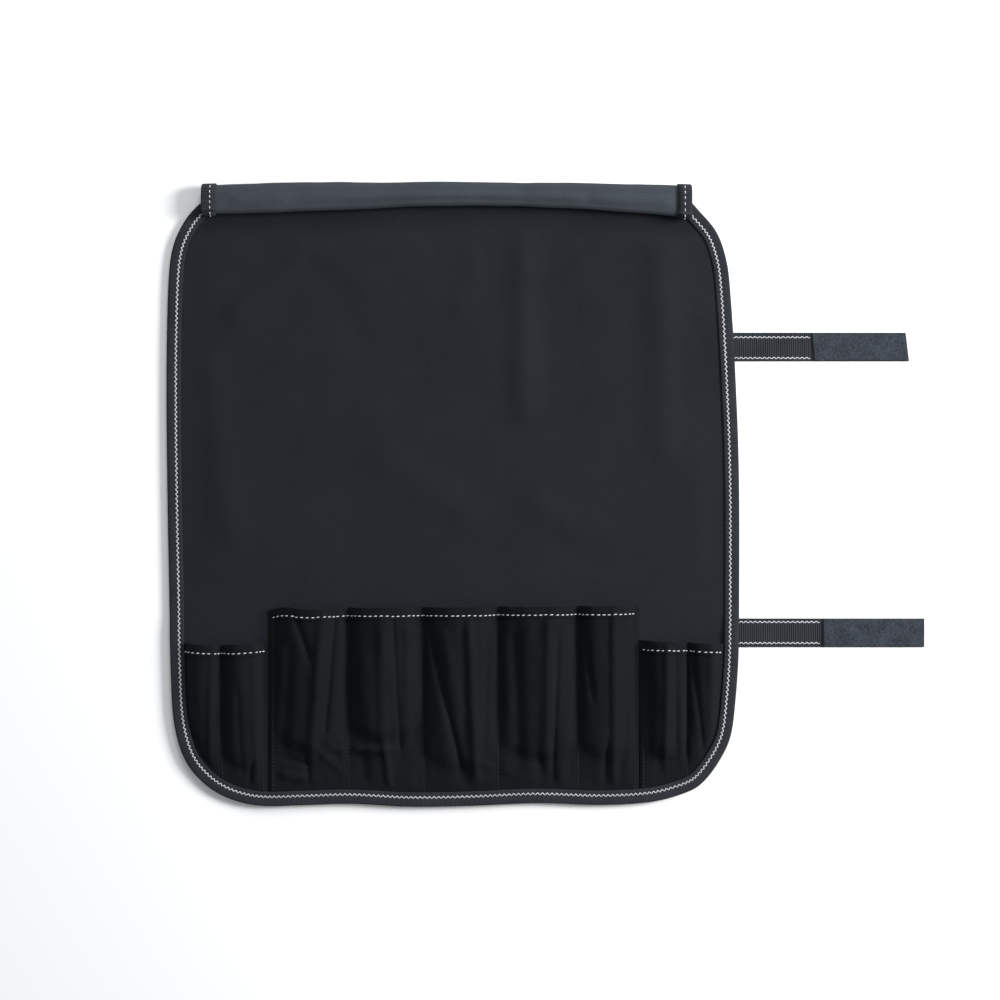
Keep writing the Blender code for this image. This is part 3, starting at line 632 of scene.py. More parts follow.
def panel_cloth(low, high, step, flap_steps):
    """Both faces of one cloth, between two distances from the middle of the two cloths."""
    bottom_left = RIM.at(RIM.bottom(-0.735 * HALF_WIDTH, TUCK), TUCK)[0]
    bottom_right = RIM.at(RIM.bottom(0.745 * HALF_WIDTH, TUCK), TUCK)[0]
    shares = even_places(0.0, 1.0, step / PANEL_WIDTH)
    heights = [0.0045, 0.0062, 0.0080] + even_places(0.010, 0.9695 * PANEL_LENGTH, step)
    ends = FLAP_ENDS[0] * HALF_WIDTH + TUCK, FLAP_ENDS[1] * HALF_WIDTH - TUCK
    under, over, uvs = [], [], []
    first = [blend(bottom_left, bottom_right, s) for s in shares]
    columns = [[(x, RIM.at(RIM.bottom(x, TUCK), TUCK)[1]) for x in first]]
    for y in heights:
        left, right = row_ends(y)
        row = []
        for s, (low_x, low_y) in zip(shares, columns[0]):
            x = blend(left, right, s)
            row.append((x, max(y, low_y + (y - 0.003) * 0.5)))
        columns.append(row)
    for row in columns:
        rises = [lift(x, y) + crease(x, y) for x, y in row]
        under.append([Vector((x, y, STACK_LEVEL - high + r)) for (x, y), r in zip(row, rises)])
        over.append([Vector((x, y, STACK_LEVEL - low + r)) for (x, y), r in zip(row, rises)])
        uvs.append(row)
    walked = columns[-1][0][1]
    flap_xs = [blend(ends[0], ends[1], s) for s in shares]
    before = None
    for station in flap_stations(*flap_steps):
        low_row, high_row = [], []
        for x in flap_xs:
            relief = flap_relief(station, x, flap_point(station, x, 0.0).y)
            low_row.append(flap_point(station, x, high + relief))
            high_row.append(flap_point(station, x, low + relief))
        middle = low_row[len(low_row) // 2]
        walked += 0.004 if before is None else (middle - before).length
        before = middle
        under.append(low_row)
        over.append(high_row)
        uvs.append([(x, walked) for x in flap_xs])
    return under, over, uvs


def rise_along(t, v, pocket):
    """The share of the mouth's rise up a pocket: low at the seam, then up round a handle's end."""
    rows = RISE_UP + [(1.0, 1.0)]
    edge = pocket.toe + 0.28 * (t - pocket.crest) ** 2
    toe = blend(0.40, 1.0, eased((v - edge) / 0.10))
    return max(0.0, smooth_value(rows, v)) * blend(pocket.foot, 1.0, v) * toe


def rise_across(t, crest):
    share = t / crest if t < crest else (1 - t) / (1 - crest)
    return max(0.0, smooth_value(RISE_ACROSS, share))


def crinkle_height(x, y):
    """The pocket cloth's ridges and grooves."""
    height = 0.0
    for fold in CRINKLES:
        ax, ay, bx, by = pixel_x(fold.x), pixel_y(fold.y), pixel_x(fold.to_x), pixel_y(fold.to_y)
        dx, dy = bx - ax, by - ay
        t = ((x - ax) * dx + (y - ay) * dy) / (dx * dx + dy * dy)
        beyond = max(0.0, -t, t - 1) * math.hypot(dx, dy)
        off = abs((x - ax) * dy - (y - ay) * dx) / math.hypot(dx, dy)
        width = fold.width * CRINKLE_WIDTH
        if off < 3 * width and beyond < 0.03:
            fade = math.exp(-((off / width) ** 2) - (beyond / 0.010) ** 2)
            height += CRINKLED * fold.height * fade
    return height


class PocketStrip:
    """A sewn strip: seams and hem as curves, with each pocket spread between two seams."""

    def __init__(self, strip):
        self.strip = strip
        self.bound_left = strip.seams[0] is None
        self.bound_right = strip.seams[-1] is None
        corner_left = RIM.bottom(-0.880 * HALF_WIDTH, MARGIN / 3)
        corner_right = RIM.bottom(0.885 * HALF_WIDTH, MARGIN / 3)
        self.corner = corner_right if self.bound_right else corner_left
        hem = side_pocket_height(self.bound_right)
        self.hem_place = RIM.side(hem, MARGIN, self.bound_right)
        self.seams = {}

    def seam(self, k, v):
        key = (k, round(v, 5))
        if key not in self.seams:
            place = self.strip.seams[k]
            if place is None:
                found = RIM.at(blend(self.corner, self.hem_place, v), MARGIN)
            else:
                x = place * HALF_WIDTH
                low = RIM.at(RIM.bottom(x, MARGIN), MARGIN)[1]
                found = (x, blend(low, hem_line(self.strip, x), v))
            self.seams[key] = Vector((found[0], found[1]))
        return self.seams[key]

    def ends(self, k, t):
        """The lowest and the highest point of the line at t across pocket k."""
        low_x = blend(self.seam(k, 0).x, self.seam(k + 1, 0).x, t)
        top_x = blend(self.seam(k, 1).x, self.seam(k + 1, 1).x, t)
        low = Vector((low_x, RIM.at(RIM.bottom(low_x, MARGIN), MARGIN)[1]))
        return low, Vector((top_x, hem_line(self.strip, top_x)))

    def spread(self, k, t, v, ends=None):
        """The point at t across pocket k and v up it, seen from above."""
        left, right = self.seam(k, v), self.seam(k + 1, v)
        low, top = ends or self.ends(k, t)
        point = left.lerp(right, t)
        point += (low - self.seam(k, 0).lerp(self.seam(k + 1, 0), t)) * (1 - v)
        point += (top - self.seam(k, 1).lerp(self.seam(k + 1, 1), t)) * v
        return point

    def rise(self, k, t, v, point):
        """How far the cloth stands above its seams."""
        pocket = self.strip.pockets[k]
        nominal = (self.seam(k + 1, 1) - self.seam(k, 1)).length
        fit = min(1.0, (self.seam(k + 1, v) - self.seam(k, v)).length / nominal)
        form = rise_along(t, v, pocket) * rise_across(t, pocket.crest) * fit
        height = POCKET_RISE * pocket.rise * form
        free = eased(min(t, 1 - t) / 0.16) * eased(v / 0.06)
        height += crinkle_height(point.x, point.y) * free
        pull = noise.noise(Vector((point.x * 110, point.y * 90, 2.0))) * 0.0005
        pull += noise.noise(Vector((point.x * 62, point.y * 13, 7.0))) * 0.0019
        pull += noise.noise(Vector((point.x * 34, point.y * 30, 11.0))) * 0.0011
        height += pull * free
        return max(0.0, height)

    def hem_share(self):
        return 1 - HEM / (self.seam(1, 1).y - self.seam(1, 0).y)

    def surface(self, k, t, v):
        """A point on the underside of the cloth."""
        point = self.spread(k, t, v)
        rise = self.rise(k, t, v, point)
        raised = lift(point.x, point.y)
        return Vector((point.x, point.y, POCKET_LEVEL + raised * POCKET_LIFT + rise))


def offset_grid(rows, thick):
    """The grid moved along its upward normals, evenly thick across its bends."""
    grid = np.array([[tuple(p) for p in row] for row in rows])
    cross = np.cross(grid[1:, 1:] - grid[:-1, :-1], grid[1:, :-1] - grid[:-1, 1:])
    length = np.linalg.norm(cross, axis=2)[..., None]
    cross = cross / np.maximum(length, 1e-12)
    cross *= np.where(cross[..., 2:] < 0, -1, 1)
    total = np.zeros_like(grid)
    count = np.zeros(grid.shape[:2] + (1,))
    for dr in (0, 1):
        for dc in (0, 1):
            part = (slice(dr, dr + cross.shape[0]), slice(dc, dc + cross.shape[1]))
            total[part] += cross
            count[part] += 1
    normal = total / np.linalg.norm(total, axis=2)[..., None]
    even = np.clip(np.linalg.norm(total, axis=2)[..., None] / count, 0.8, 1.0)
    over = grid + normal * np.array(thick)[..., None] / even
    return [[Vector(p) for p in row] for row in over]


def edge_section(place):
    """The folded tape's base and roof heights at a place of the rim."""
    right = place > RIM.middle
    point = RIM.at(place, 0.0)
    base = lift(RIM.at(place, MARGIN / 2)[0], point[1]) if right else 0.0
    start = side_pocket_height(right) + 0.004
    over_pocket = eased((start + 0.024 - point[1]) / 0.024)
    if start < point[1] < start + 0.024:
        over_pocket = max(over_pocket, clamp((start + 0.024 - point[1]) / 0.024))
    return base, base + POCKET_LEVEL + (CLOTH + GAP) * over_pocket


def tape_profile(base, roof, shows, pucker):
    """A folded tape's section as (inset, height, distance across the tape), round at the fold."""
    top = roof + WEBBING
    radius = min(0.0016, (top - base) / 2)
    outer = [(shows, base), (0.6 * shows, base), (radius * 1.6, base), (radius, base)]
    for angle in (30, 60):
        a = math.radians(angle)
        outer.append((radius - radius * math.sin(a), base + radius - radius * math.cos(a)))
    outer.append((0.0, base + radius))
    outer.append((0.0, top - radius))
    for angle in (30, 60):
        a = math.radians(angle)
        outer.append((radius - radius * math.cos(a), top - radius + radius * math.sin(a)))
    outer += [(radius, top), (radius * 1.6, top + pucker * 0.5), (0.3 * shows, top + pucker)]
    outer += [(0.5 * shows, top + pucker * 0.6), (0.66 * shows, top - 0.00025)]
    outer += [(0.8 * shows, top + pucker * 0.5), (0.94 * shows, top), (shows, top - 0.0002)]
    inner = [
        (shows, roof), (0.94 * shows, roof), (0.8 * shows, roof), (0.66 * shows, roof),
        (0.5 * shows, roof), (0.3 * shows, roof), (radius * 1.6, roof), (WEBBING * 1.3, roof),
        (WEBBING, roof - 0.0003), (WEBBING, roof - 0.0006), (WEBBING, roof - 0.0009),
        (WEBBING, base + WEBBING + 0.0003), (WEBBING * 1.1, base + WEBBING + 0.0001),
        (WEBBING * 1.4, base + WEBBING), (radius * 1.6, base + WEBBING),
        (radius * 2, base + WEBBING), (0.6 * shows, base + WEBBING), (shows, base + WEBBING),
    ]
    return outer, inner


def tape_sections(places, spot_of, levels_of):
    """Sections and UVs of a folded tape along its places."""
    sections, uvs = [], []
    walked, before = 0.0, None
    for place in places:
        base, roof, pucker = levels_of(place)
        outer, inner = tape_profile(base, roof, BINDING_SHOWS, pucker)
        section = [spot_of(place, inset, z) for inset, z in outer + inner]
        here = section[len(outer) // 2]
        if before is not None:
            walked += (here - before).length
        before = here
        across, row = 0.0, []
        for i, (inset, z) in enumerate(outer):
            if i:
                across += math.hypot(inset - outer[i - 1][0], z - outer[i - 1][1])
            row.append((across, walked))
        last = across
        for inset, _ in inner:
            row.append((last * inset / (2 * BINDING_SHOWS) + last / 2, walked))
        sections.append(section)
        uvs.append(row)
    return sections, uvs


def new_material(name):
    material = bpy.data.materials.new(name)
    material.use_nodes = True
    return material, material.node_tree, material.node_tree.nodes["Principled BSDF"]


def node_group(name, inputs, outputs):
    group = bpy.data.node_groups.new(name, "ShaderNodeTree")
    for socket, kind, default in inputs:
        made = group.interface.new_socket(socket, in_out="INPUT", socket_type=kind)
        if default is not None:
            made.default_value = default
    for socket, kind in outputs:
        group.interface.new_socket(socket, in_out="OUTPUT", socket_type=kind)
    return group, group.nodes.new("NodeGroupInput"), group.nodes.new("NodeGroupOutput")


def math_node(tree, kind, *values):
    node = tree.nodes.new("ShaderNodeMath")
    node.operation = kind
    for socket, value in zip(node.inputs, values):
        if isinstance(value, (int, float)):
            socket.default_value = value
        else:
            tree.links.new(value, socket)
    return node.outputs[0]


def added(tree, value, *parts):
    """A value with (output, share) pairs added to it."""
    for output, share in parts:
        value = math_node(tree, "MULTIPLY_ADD", output, share, value)
    return value


def wave_of(tree, coordinate, pitch):
    """A cosine between 0 and 1 along a coordinate."""
    turns = math_node(tree, "DIVIDE", coordinate, pitch)
    angle = math_node(tree, "MULTIPLY", turns, 2 * math.pi)
    return math_node(tree, "MULTIPLY_ADD", math_node(tree, "COSINE", angle), 0.5, 0.5)


def noise_node(tree, place, scale, detail, rough=0.5):
    node = tree.nodes.new("ShaderNodeTexNoise")
    for name, value in (("Scale", scale), ("Detail", detail), ("Roughness", rough)):
        node.inputs[name].default_value = value
    tree.links.new(place, node.inputs["Vector"])
    return node.outputs[0]


def tint(tree, colour, tone, target):
    """Leads a colour, made lighter or darker by a tone, to a socket."""
    node = tree.nodes.new("ShaderNodeVectorMath")
    node.operation = "SCALE"
    if isinstance(colour, bpy.types.NodeSocket):
        tree.links.new(colour, node.inputs[0])
    else:
        node.inputs[0].default_value = colour
    tree.links.new(tone, node.inputs["Scale"])
    tree.links.new(node.outputs[0], target)


def bump(tree, shader, height, distance, strength=1.0):
    node = tree.nodes.new("ShaderNodeBump")
    node.inputs["Distance"].default_value = distance
    node.inputs["Strength"].default_value = strength
    tree.links.new(height, node.inputs["Height"])
    tree.links.new(node.outputs[0], shader.inputs["Normal"])


def cloth_group(name, pitch, contrast):
    """A cloth's node group, still empty, with its inputs, its outputs and the split place."""
    group, source, sink = node_group(
        name,
        [("Place", "NodeSocketVector", None), ("Pitch", "NodeSocketFloat", pitch),
         ("Colour", "NodeSocketColor", None), ("Contrast", "NodeSocketFloat", contrast)],
        [("Colour", "NodeSocketColor"), ("Height", "NodeSocketFloat"), ("Rough", "NodeSocketFloat")],
    )
    split = group.nodes.new("ShaderNodeSeparateXYZ")
    group.links.new(source.outputs["Place"], split.inputs[0])
    return group, source.outputs, sink.inputs, split.outputs


def finish_group(group, given, taken, tone, height, rough):
    """Leads a cloth's tone, height and roughness out of its group."""
    tone = math_node(group, "MULTIPLY_ADD", tone, given["Contrast"], 1.0)
    tint(group, given["Colour"], tone, taken["Colour"])
    group.links.new(height, taken["Height"])
    group.links.new(rough, taken["Rough"])
    return group


def build_weave_group():
    """Plain weave: threads over and under, with uneven threads and worn patches."""
    group, given, taken, at = cloth_group("Plain weave", 0.00055, 0.3)
    place = given["Place"]
    double = math_node(group, "MULTIPLY", given["Pitch"], 2.0)
    waves, sides = [], []
    for i in (0, 1):
        waves.append(wave_of(group, at[i], given["Pitch"]))
        turns = math_node(group, "DIVIDE", at[i], double)
        sides.append(math_node(group, "SINE", math_node(group, "MULTIPLY", turns, 2 * math.pi)))
    over = math_node(group, "MULTIPLY", *sides)
    over = math_node(group, "MULTIPLY_ADD", over, 0.5, 0.5)
    threads = added(group, math_node(group, "MINIMUM", *waves), (over, 0.35))
    grain = noise_node(group, place, 900.0, 3.0)
    patches = noise_node(group, place, 14.0, 4.0, 0.6)
    drawn_out = group.nodes.new("ShaderNodeMapping")
    drawn_out.inputs["Scale"].default_value = (30.0, 900.0, 1.0)
    group.links.new(place, drawn_out.inputs["Vector"])
    streaks = noise_node(group, drawn_out.outputs[0], 1.0, 1.0)
    tone = added(group, 0.55, (threads, 0.5), (grain, 1.3), (patches, 0.45), (streaks, 0.12))
    tone = math_node(group, "SUBTRACT", tone, 1.65)
    height = added(group, threads, (grain, 0.5))
    return finish_group(group, given, taken, tone, height, added(group, 0.92, (patches, -0.12)))


def build_ribs_group():
    """Ribbed webbing: ribs across the tape, crossed by fine threads."""
    group, given, taken, at = cloth_group("Ribbed webbing", 0.0011, 0.5)
    ribs = wave_of(group, at[1], given["Pitch"])
    cross = wave_of(group, at[0], math_node(group, "MULTIPLY", given["Pitch"], 0.6))
    grain = noise_node(group, given["Place"], 700.0, 3.0)
    patches = noise_node(group, given["Place"], 35.0, 3.0)
    height = added(group, ribs, (cross, 0.22), (grain, 0.5))
    tone = added(group, 0.35, (ribs, 0.8), (cross, 0.2), (grain, 0.6), (patches, 0.7))
    tone = math_node(group, "SUBTRACT", tone, 1.5)
    return finish_group(group, given, taken, tone, height, added(group, 0.85, (grain, -0.15)))


Finish = namedtuple("Finish", "group colour pitch coarser contrast bump")
FINISHES = {
    "lining_weave": Finish("Plain weave", "lining", "weave", 1.0, 0.9, 0.00016),
    "shell_weave": Finish("Plain weave", "shell", "weave", 1.2, 0.7, 0.00016),
    "pocket_weave": Finish("Plain weave", "pockets", "weave", 1.0, 0.9, 0.00016),
    "edge_webbing": Finish("Ribbed webbing", "webbing", "ribs", 1.0, 0.9, 0.00040),
    "strap_webbing": Finish("Ribbed webbing", "webbing", "strap_ribs", 1.0, 0.9, 0.00055),
}
GROUPS = {"Plain weave": build_weave_group, "Ribbed webbing": build_ribs_group}
CLOTH_SHINE = 0.04


def sizes():
    return bpy.context.scene.roll_sizes


def colours():
    return bpy.context.scene.roll_colours


def cloth_material(name):
    """A cloth from one of the two groups, on the piece's own UV map."""
    if name in bpy.data.materials:
        return bpy.data.materials[name]
    finish = FINISHES[name]
    material, tree, shader = new_material(name)
    place = tree.nodes.new("ShaderNodeUVMap")
    place.uv_map = "cloth"
    group = tree.nodes.new("ShaderNodeGroup")
    group.node_tree = bpy.data.node_groups.get(finish.group) or GROUPS[finish.group]()
    group.inputs["Pitch"].default_value = getattr(sizes(), finish.pitch) * finish.coarser
    group.inputs["Colour"].default_value = (*getattr(colours(), finish.colour), 1.0)
    group.inputs["Contrast"].default_value = finish.contrast
    tree.links.new(place.outputs[0], group.inputs["Place"])
    tree.links.new(group.outputs["Colour"], shader.inputs["Base Color"])
    tree.links.new(group.outputs["Rough"], shader.inputs["Roughness"])
    bump(tree, shader, group.outputs["Height"], finish.bump, 0.8)
    shader.inputs["Sheen Weight"].default_value = 0.02
    shader.inputs["Sheen Roughness"].default_value = 0.45
    shader.inputs["Specular IOR Level"].default_value = CLOTH_SHINE
    return material


def fuzzy_material(name, colour, scale, depth):
    """Fuzzy hook or loop tape: short matted pile."""
    if name in bpy.data.materials:
        return bpy.data.materials[name]
    material, tree, shader = new_material(name)
    place = tree.nodes.new("ShaderNodeTexCoord").outputs["Object"]
    pile = noise_node(tree, place, scale, 5.0, 0.7)
    matted = noise_node(tree, place, 90.0, 3.0)
    tone = added(tree, -0.75, (pile, 2.6), (matted, 0.9))
    tint(tree, colour, tone, shader.inputs["Base Color"])
    bump(tree, shader, pile, depth)
    shader.inputs["Roughness"].default_value = 0.97
    shader.inputs["Specular IOR Level"].default_value = CLOTH_SHINE
    shader.inputs["Sheen Weight"].default_value = 0.04
    return material


def thread_material(name, colour):
    """Twisted sewing thread."""
    if name in bpy.data.materials:
        return bpy.data.materials[name]
    material, tree, shader = new_material(name)
    place = tree.nodes.new("ShaderNodeTexCoord").outputs["Object"]
    fibre = noise_node(tree, place, 1500.0, 2.0)
    worn = noise_node(tree, place, 60.0, 2.0)
    tone = added(tree, 0.55, (fibre, 0.5), (worn, 0.4))
    tint(tree, colour, tone, shader.inputs["Base Color"])
    bump(tree, shader, fibre, 0.0002)
    shader.inputs["Roughness"].default_value = 0.7
    return material


def tube_along(name, paths, thickness):
    """Thread along paths of points, as one mesh made from a bevelled curve."""
    curve = bpy.data.curves.new(name, "CURVE")
    curve.dimensions = "3D"
    curve.bevel_depth = thickness / 2
    curve.bevel_resolution = 0
    curve.use_fill_caps = True
    for path in paths:
        line = curve.splines.new("POLY")
        line.points.add(len(path) - 1)
        for point, spot in zip(line.points, placed(path)):
            point.co = (*spot, 1.0)
    made = bpy.data.objects.new(name, curve)
    bpy.context.collection.objects.link(made)
    bpy.ops.object.select_all(action="DESELECT")
    made.select_set(True)
    bpy.context.view_layer.objects.active = made
    bpy.ops.object.convert(target="MESH")
    made = bpy.context.view_layer.objects.active
    made.name = name
    bpy.ops.object.shade_smooth()
    made.select_set(False)
    return made


def model_stitch(length, thickness):
    """One stitch lying along X, rounded down into the cloth at both ends."""
    bpy.ops.object.select_all(action="DESELECT")
    bpy.ops.mesh.primitive_cylinder_add(
        vertices=6, radius=thickness / 2, depth=length, rotation=(0, math.pi / 2, 0)
    )
    stitch = bpy.context.active_object
    bpy.ops.object.transform_apply(location=True, rotation=True, scale=True)
    bpy.ops.object.mode_set(mode="EDIT")
    for share in (-0.5, 0.0, 0.5):
        bpy.ops.mesh.select_all(action="SELECT")
        bpy.ops.mesh.bisect(plane_co=(share * length * 0.64, 0, 0), plane_no=(1, 0, 0))
    shape = bmesh.from_edit_mesh(stitch.data)
    for v in shape.verts:
        share = abs(v.co.x) / (length / 2)
        v.co.z -= thickness * 0.75 * share**3
        v.co.y *= 1 - 0.35 * share**2
    bmesh.update_edit_mesh(stitch.data)
    bpy.ops.object.mode_set(mode="OBJECT")
    stitch.select_set(False)
    return stitch


def place_stitches(name, stitch, spots):
    """Copies of one stitch, each at (point, along, up), joined in one mesh."""
    source = np.array([tuple(v.co) for v in stitch.data.vertices])
    polygons = [tuple(p.vertices) for p in stitch.data.polygons]
    vertices, faces = [], []
    for point, along, up in spots:
        x = Vector(along).normalized()
        y = Vector(up).cross(x).normalized()
        z = x.cross(y)
        turn = np.array([x, y, z])
        base = len(vertices)
        vertices += [tuple(p) for p in source @ turn + np.array(tuple(point))]
        faces += [tuple(base + i for i in polygon) for polygon in polygons]
    bpy.data.objects.remove(stitch, do_unlink=True)
    return linked(name, vertices, faces)


class KNIFEROLL_OT_lining(bpy.types.Operator):
    """Lay the lining, with its soft creases, and lead it round the flap"""

    bl_idname = "kniferoll.lining"
    bl_label = "Lining"

    def execute(self, context):
        under, over, uvs = panel_cloth(-HALF_STACK, -GAP / 2, LINING_STEP, (10, 3, 8, 3))
        made = sheet_mesh("lining_cloth_piece", under, over, uvs)
        keep(made, cloth_material("lining_weave"), "lining_cloth", "lining")
        return {"FINISHED"}


class KNIFEROLL_OT_shell(bpy.types.Operator):
    """Lay the outer cloth and roll it round the flap"""

    bl_idname = "kniferoll.shell"
    bl_label = "Outer cloth"

    def execute(self, context):
        under, over, uvs = panel_cloth(GAP / 2, HALF_STACK, SHELL_STEP, (14, 8, 10, 4))
        made = sheet_mesh("outer_shell_piece", under, over, uvs)
        keep(made, cloth_material("shell_weave"), "shell_cloth", "outer_shell")
        return {"FINISHED"}


class KNIFEROLL_OT_edge_tape(bpy.types.Operator):
    """Fold the webbing tape round the panel's edge"""

    bl_idname = "kniferoll.edge_tape"
    bl_label = "Edge tape"

    def execute(self, context):
        total = RIM.walk[-1]
        places = [RIM.place_at_walk(total * i / TAPE_STEPS) for i in range(TAPE_STEPS + 1)]

        def spot(place, inset, z):
            x, y = RIM.at(place, inset)
            return Vector((x, y, z))

        def levels(place):
            base, roof = edge_section(place)
            pucker = 0.00022 + 0.00022 * noise.noise(Vector((place * 3.1, 0.0, 4.0)))
            return base, roof, pucker

        sections, uvs = tape_sections(places, spot, levels)
        made = swept_mesh("edge_binding_piece", sections, uvs)
        keep(made, cloth_material("edge_webbing"), "webbing", "edge_binding")
        return {"FINISHED"}


class KNIFEROLL_OT_flap_tapes(bpy.types.Operator):
    """Fold webbing tape over the flap's two ends"""

    bl_idname = "kniferoll.flap_tapes"
    bl_label = "Flap tapes"

    def execute(self, context):
        places = [None] + flap_stations(10, 6, 8, 3)
        start = OUTLINE[0].up * PANEL_LENGTH + 0.002
        for name, end, way in (("left", FLAP_ENDS[0], 1), ("right", FLAP_ENDS[1], -1)):

            def spot(station, inset, z):
                x = end * HALF_WIDTH + way * inset
                if station is None:
                    return Vector((x, start, z))
                return flap_point(station, x, STACK_LEVEL - z)

            def levels(station):
                return STACK_LEVEL - HALF_BOUND, STACK_LEVEL + HALF_BOUND - WEBBING, 0.0

            sections, uvs = tape_sections(places, spot, levels)
            made = swept_mesh("flap_binding_%s_piece" % name, sections, uvs)
            keep(made, cloth_material("edge_webbing"), "webbing", "flap_binding_" + name)
        return {"FINISHED"}


class KNIFEROLL_OT_pockets(bpy.types.Operator):
    """Sew on the pocket strips with their folds and hems"""

    bl_idname = "kniferoll.pockets"
    bl_label = "Pocket strips"

    def execute(self, context):
        for strip in STRIPS:
            shape = PocketStrip(strip)
            hem_low = shape.hem_share()
            depth = shape.seam(1, 1).y - shape.seam(1, 0).y
            ups = even_places(0.0, hem_low - 0.002, POCKET_STEP_UP / depth)
            ups += [hem_low, hem_low + 0.003]
            ups += even_places(hem_low + 0.008, 0.997, POCKET_STEP_UP / depth)
            ups.append(1.0)
            lines = []
            for k in range(len(strip.pockets)):
                width = (shape.seam(k + 1, 1) - shape.seam(k, 1)).length
                shares = even_places(0.0, 1.0, POCKET_STEP_ACROSS / width)
                for t in shares if k == 0 else shares[1:]:
                    lines.append((k, t, shape.ends(k, t)))
            rows = []
            for v in ups:
                row = []
                for k, t, ends in lines:
                    spot = shape.spread(k, t, v, ends)
                    row.append(Vector((spot.x, spot.y, shape.rise(k, t, v, spot))))
                rows.append(row)
            self.add_margins(shape, ups, rows)
            thick = []
            for r, row in enumerate(rows):
                v = ups[r - 1] if r else 0.0
                hem = eased((v - hem_low) / 0.004)
                line = []
                for c in range(len(row)):
                    covered = (shape.bound_left and c < 2) or (
                        shape.bound_right and c > len(row) - 3
                    )
                    line.append(CLOTH * (1.0 + (0.0 if covered else HEM_THICKER * hem)))
                thick.append(line)
            for row in rows:
                for p in row:
                    p.z += POCKET_LEVEL + lift(p.x, p.y) * POCKET_LIFT
            over = offset_grid(rows, thick)
            uvs = []
            for row in rows:
                walked, line, before = row[0].x, [], None
                for p in row:
                    if before is not None:
                        walked += (p - before).length
                    before = p
                    line.append((walked, p.y))
                uvs.append(line)
            made = sheet_mesh(strip.name + "_piece", rows, over, uvs)
            nodes = [strip.name]
            if strip.name == "pocket_strip_middle":
                nodes = [strip.name + "_left", strip.name + "_right"]
            keep(made, cloth_material("pocket_weave"), "pocket_cloth", *nodes)
        return {"FINISHED"}

    def add_margins(self, shape, ups, rows):
        """The flat cloth outside the seams: under the tape, or a narrow free edge."""
        lowest = [RIM.bottom(p.x, MARGIN) for p in rows[0]]
        if shape.bound_left:
            lowest[0] += 0.8
        if shape.bound_right:
            lowest[-1] -= 0.8
        base = []
        for place in lowest:
            spot = RIM.at(place, TUCK)
            base.append(Vector((spot[0], spot[1], 0.0)))
        for row, v in zip(rows, ups):
            for left, bound in ((True, shape.bound_left), (False, shape.bound_right)):
                near = row[0] if left else row[-1]
                if bound:
                    share = v if v > 0 else 0.02
                    x, y = RIM.at(blend(shape.corner, shape.hem_place, share), TUCK)
                    flat = Vector((x, blend(y, near.y, v), 0.0))
                else:
                    flat = Vector((near.x + (-SEAM_MARGIN if left else SEAM_MARGIN), near.y, 0.0))
                    if v > 0.5:
                        top = hem_line(shape.strip, flat.x)
                        flat.y = blend(near.y, top, (v - 0.5) * 2)
                if left:
                    row.insert(0, flat)
                else:
                    row.append(flat)
        for left, bound in ((True, shape.bound_left), (False, shape.bound_right)):
            if bound:
                spot = RIM.at(shape.corner, TUCK)
            else:
                near = base[0] if left else base[-1]
                spot = (near.x + (-SEAM_MARGIN if left else SEAM_MARGIN), near.y)
            flat = Vector((spot[0], spot[1], 0.0))
            if left:
                base.insert(0, flat)
            else:
                base.append(flat)
        rows.insert(0, base)


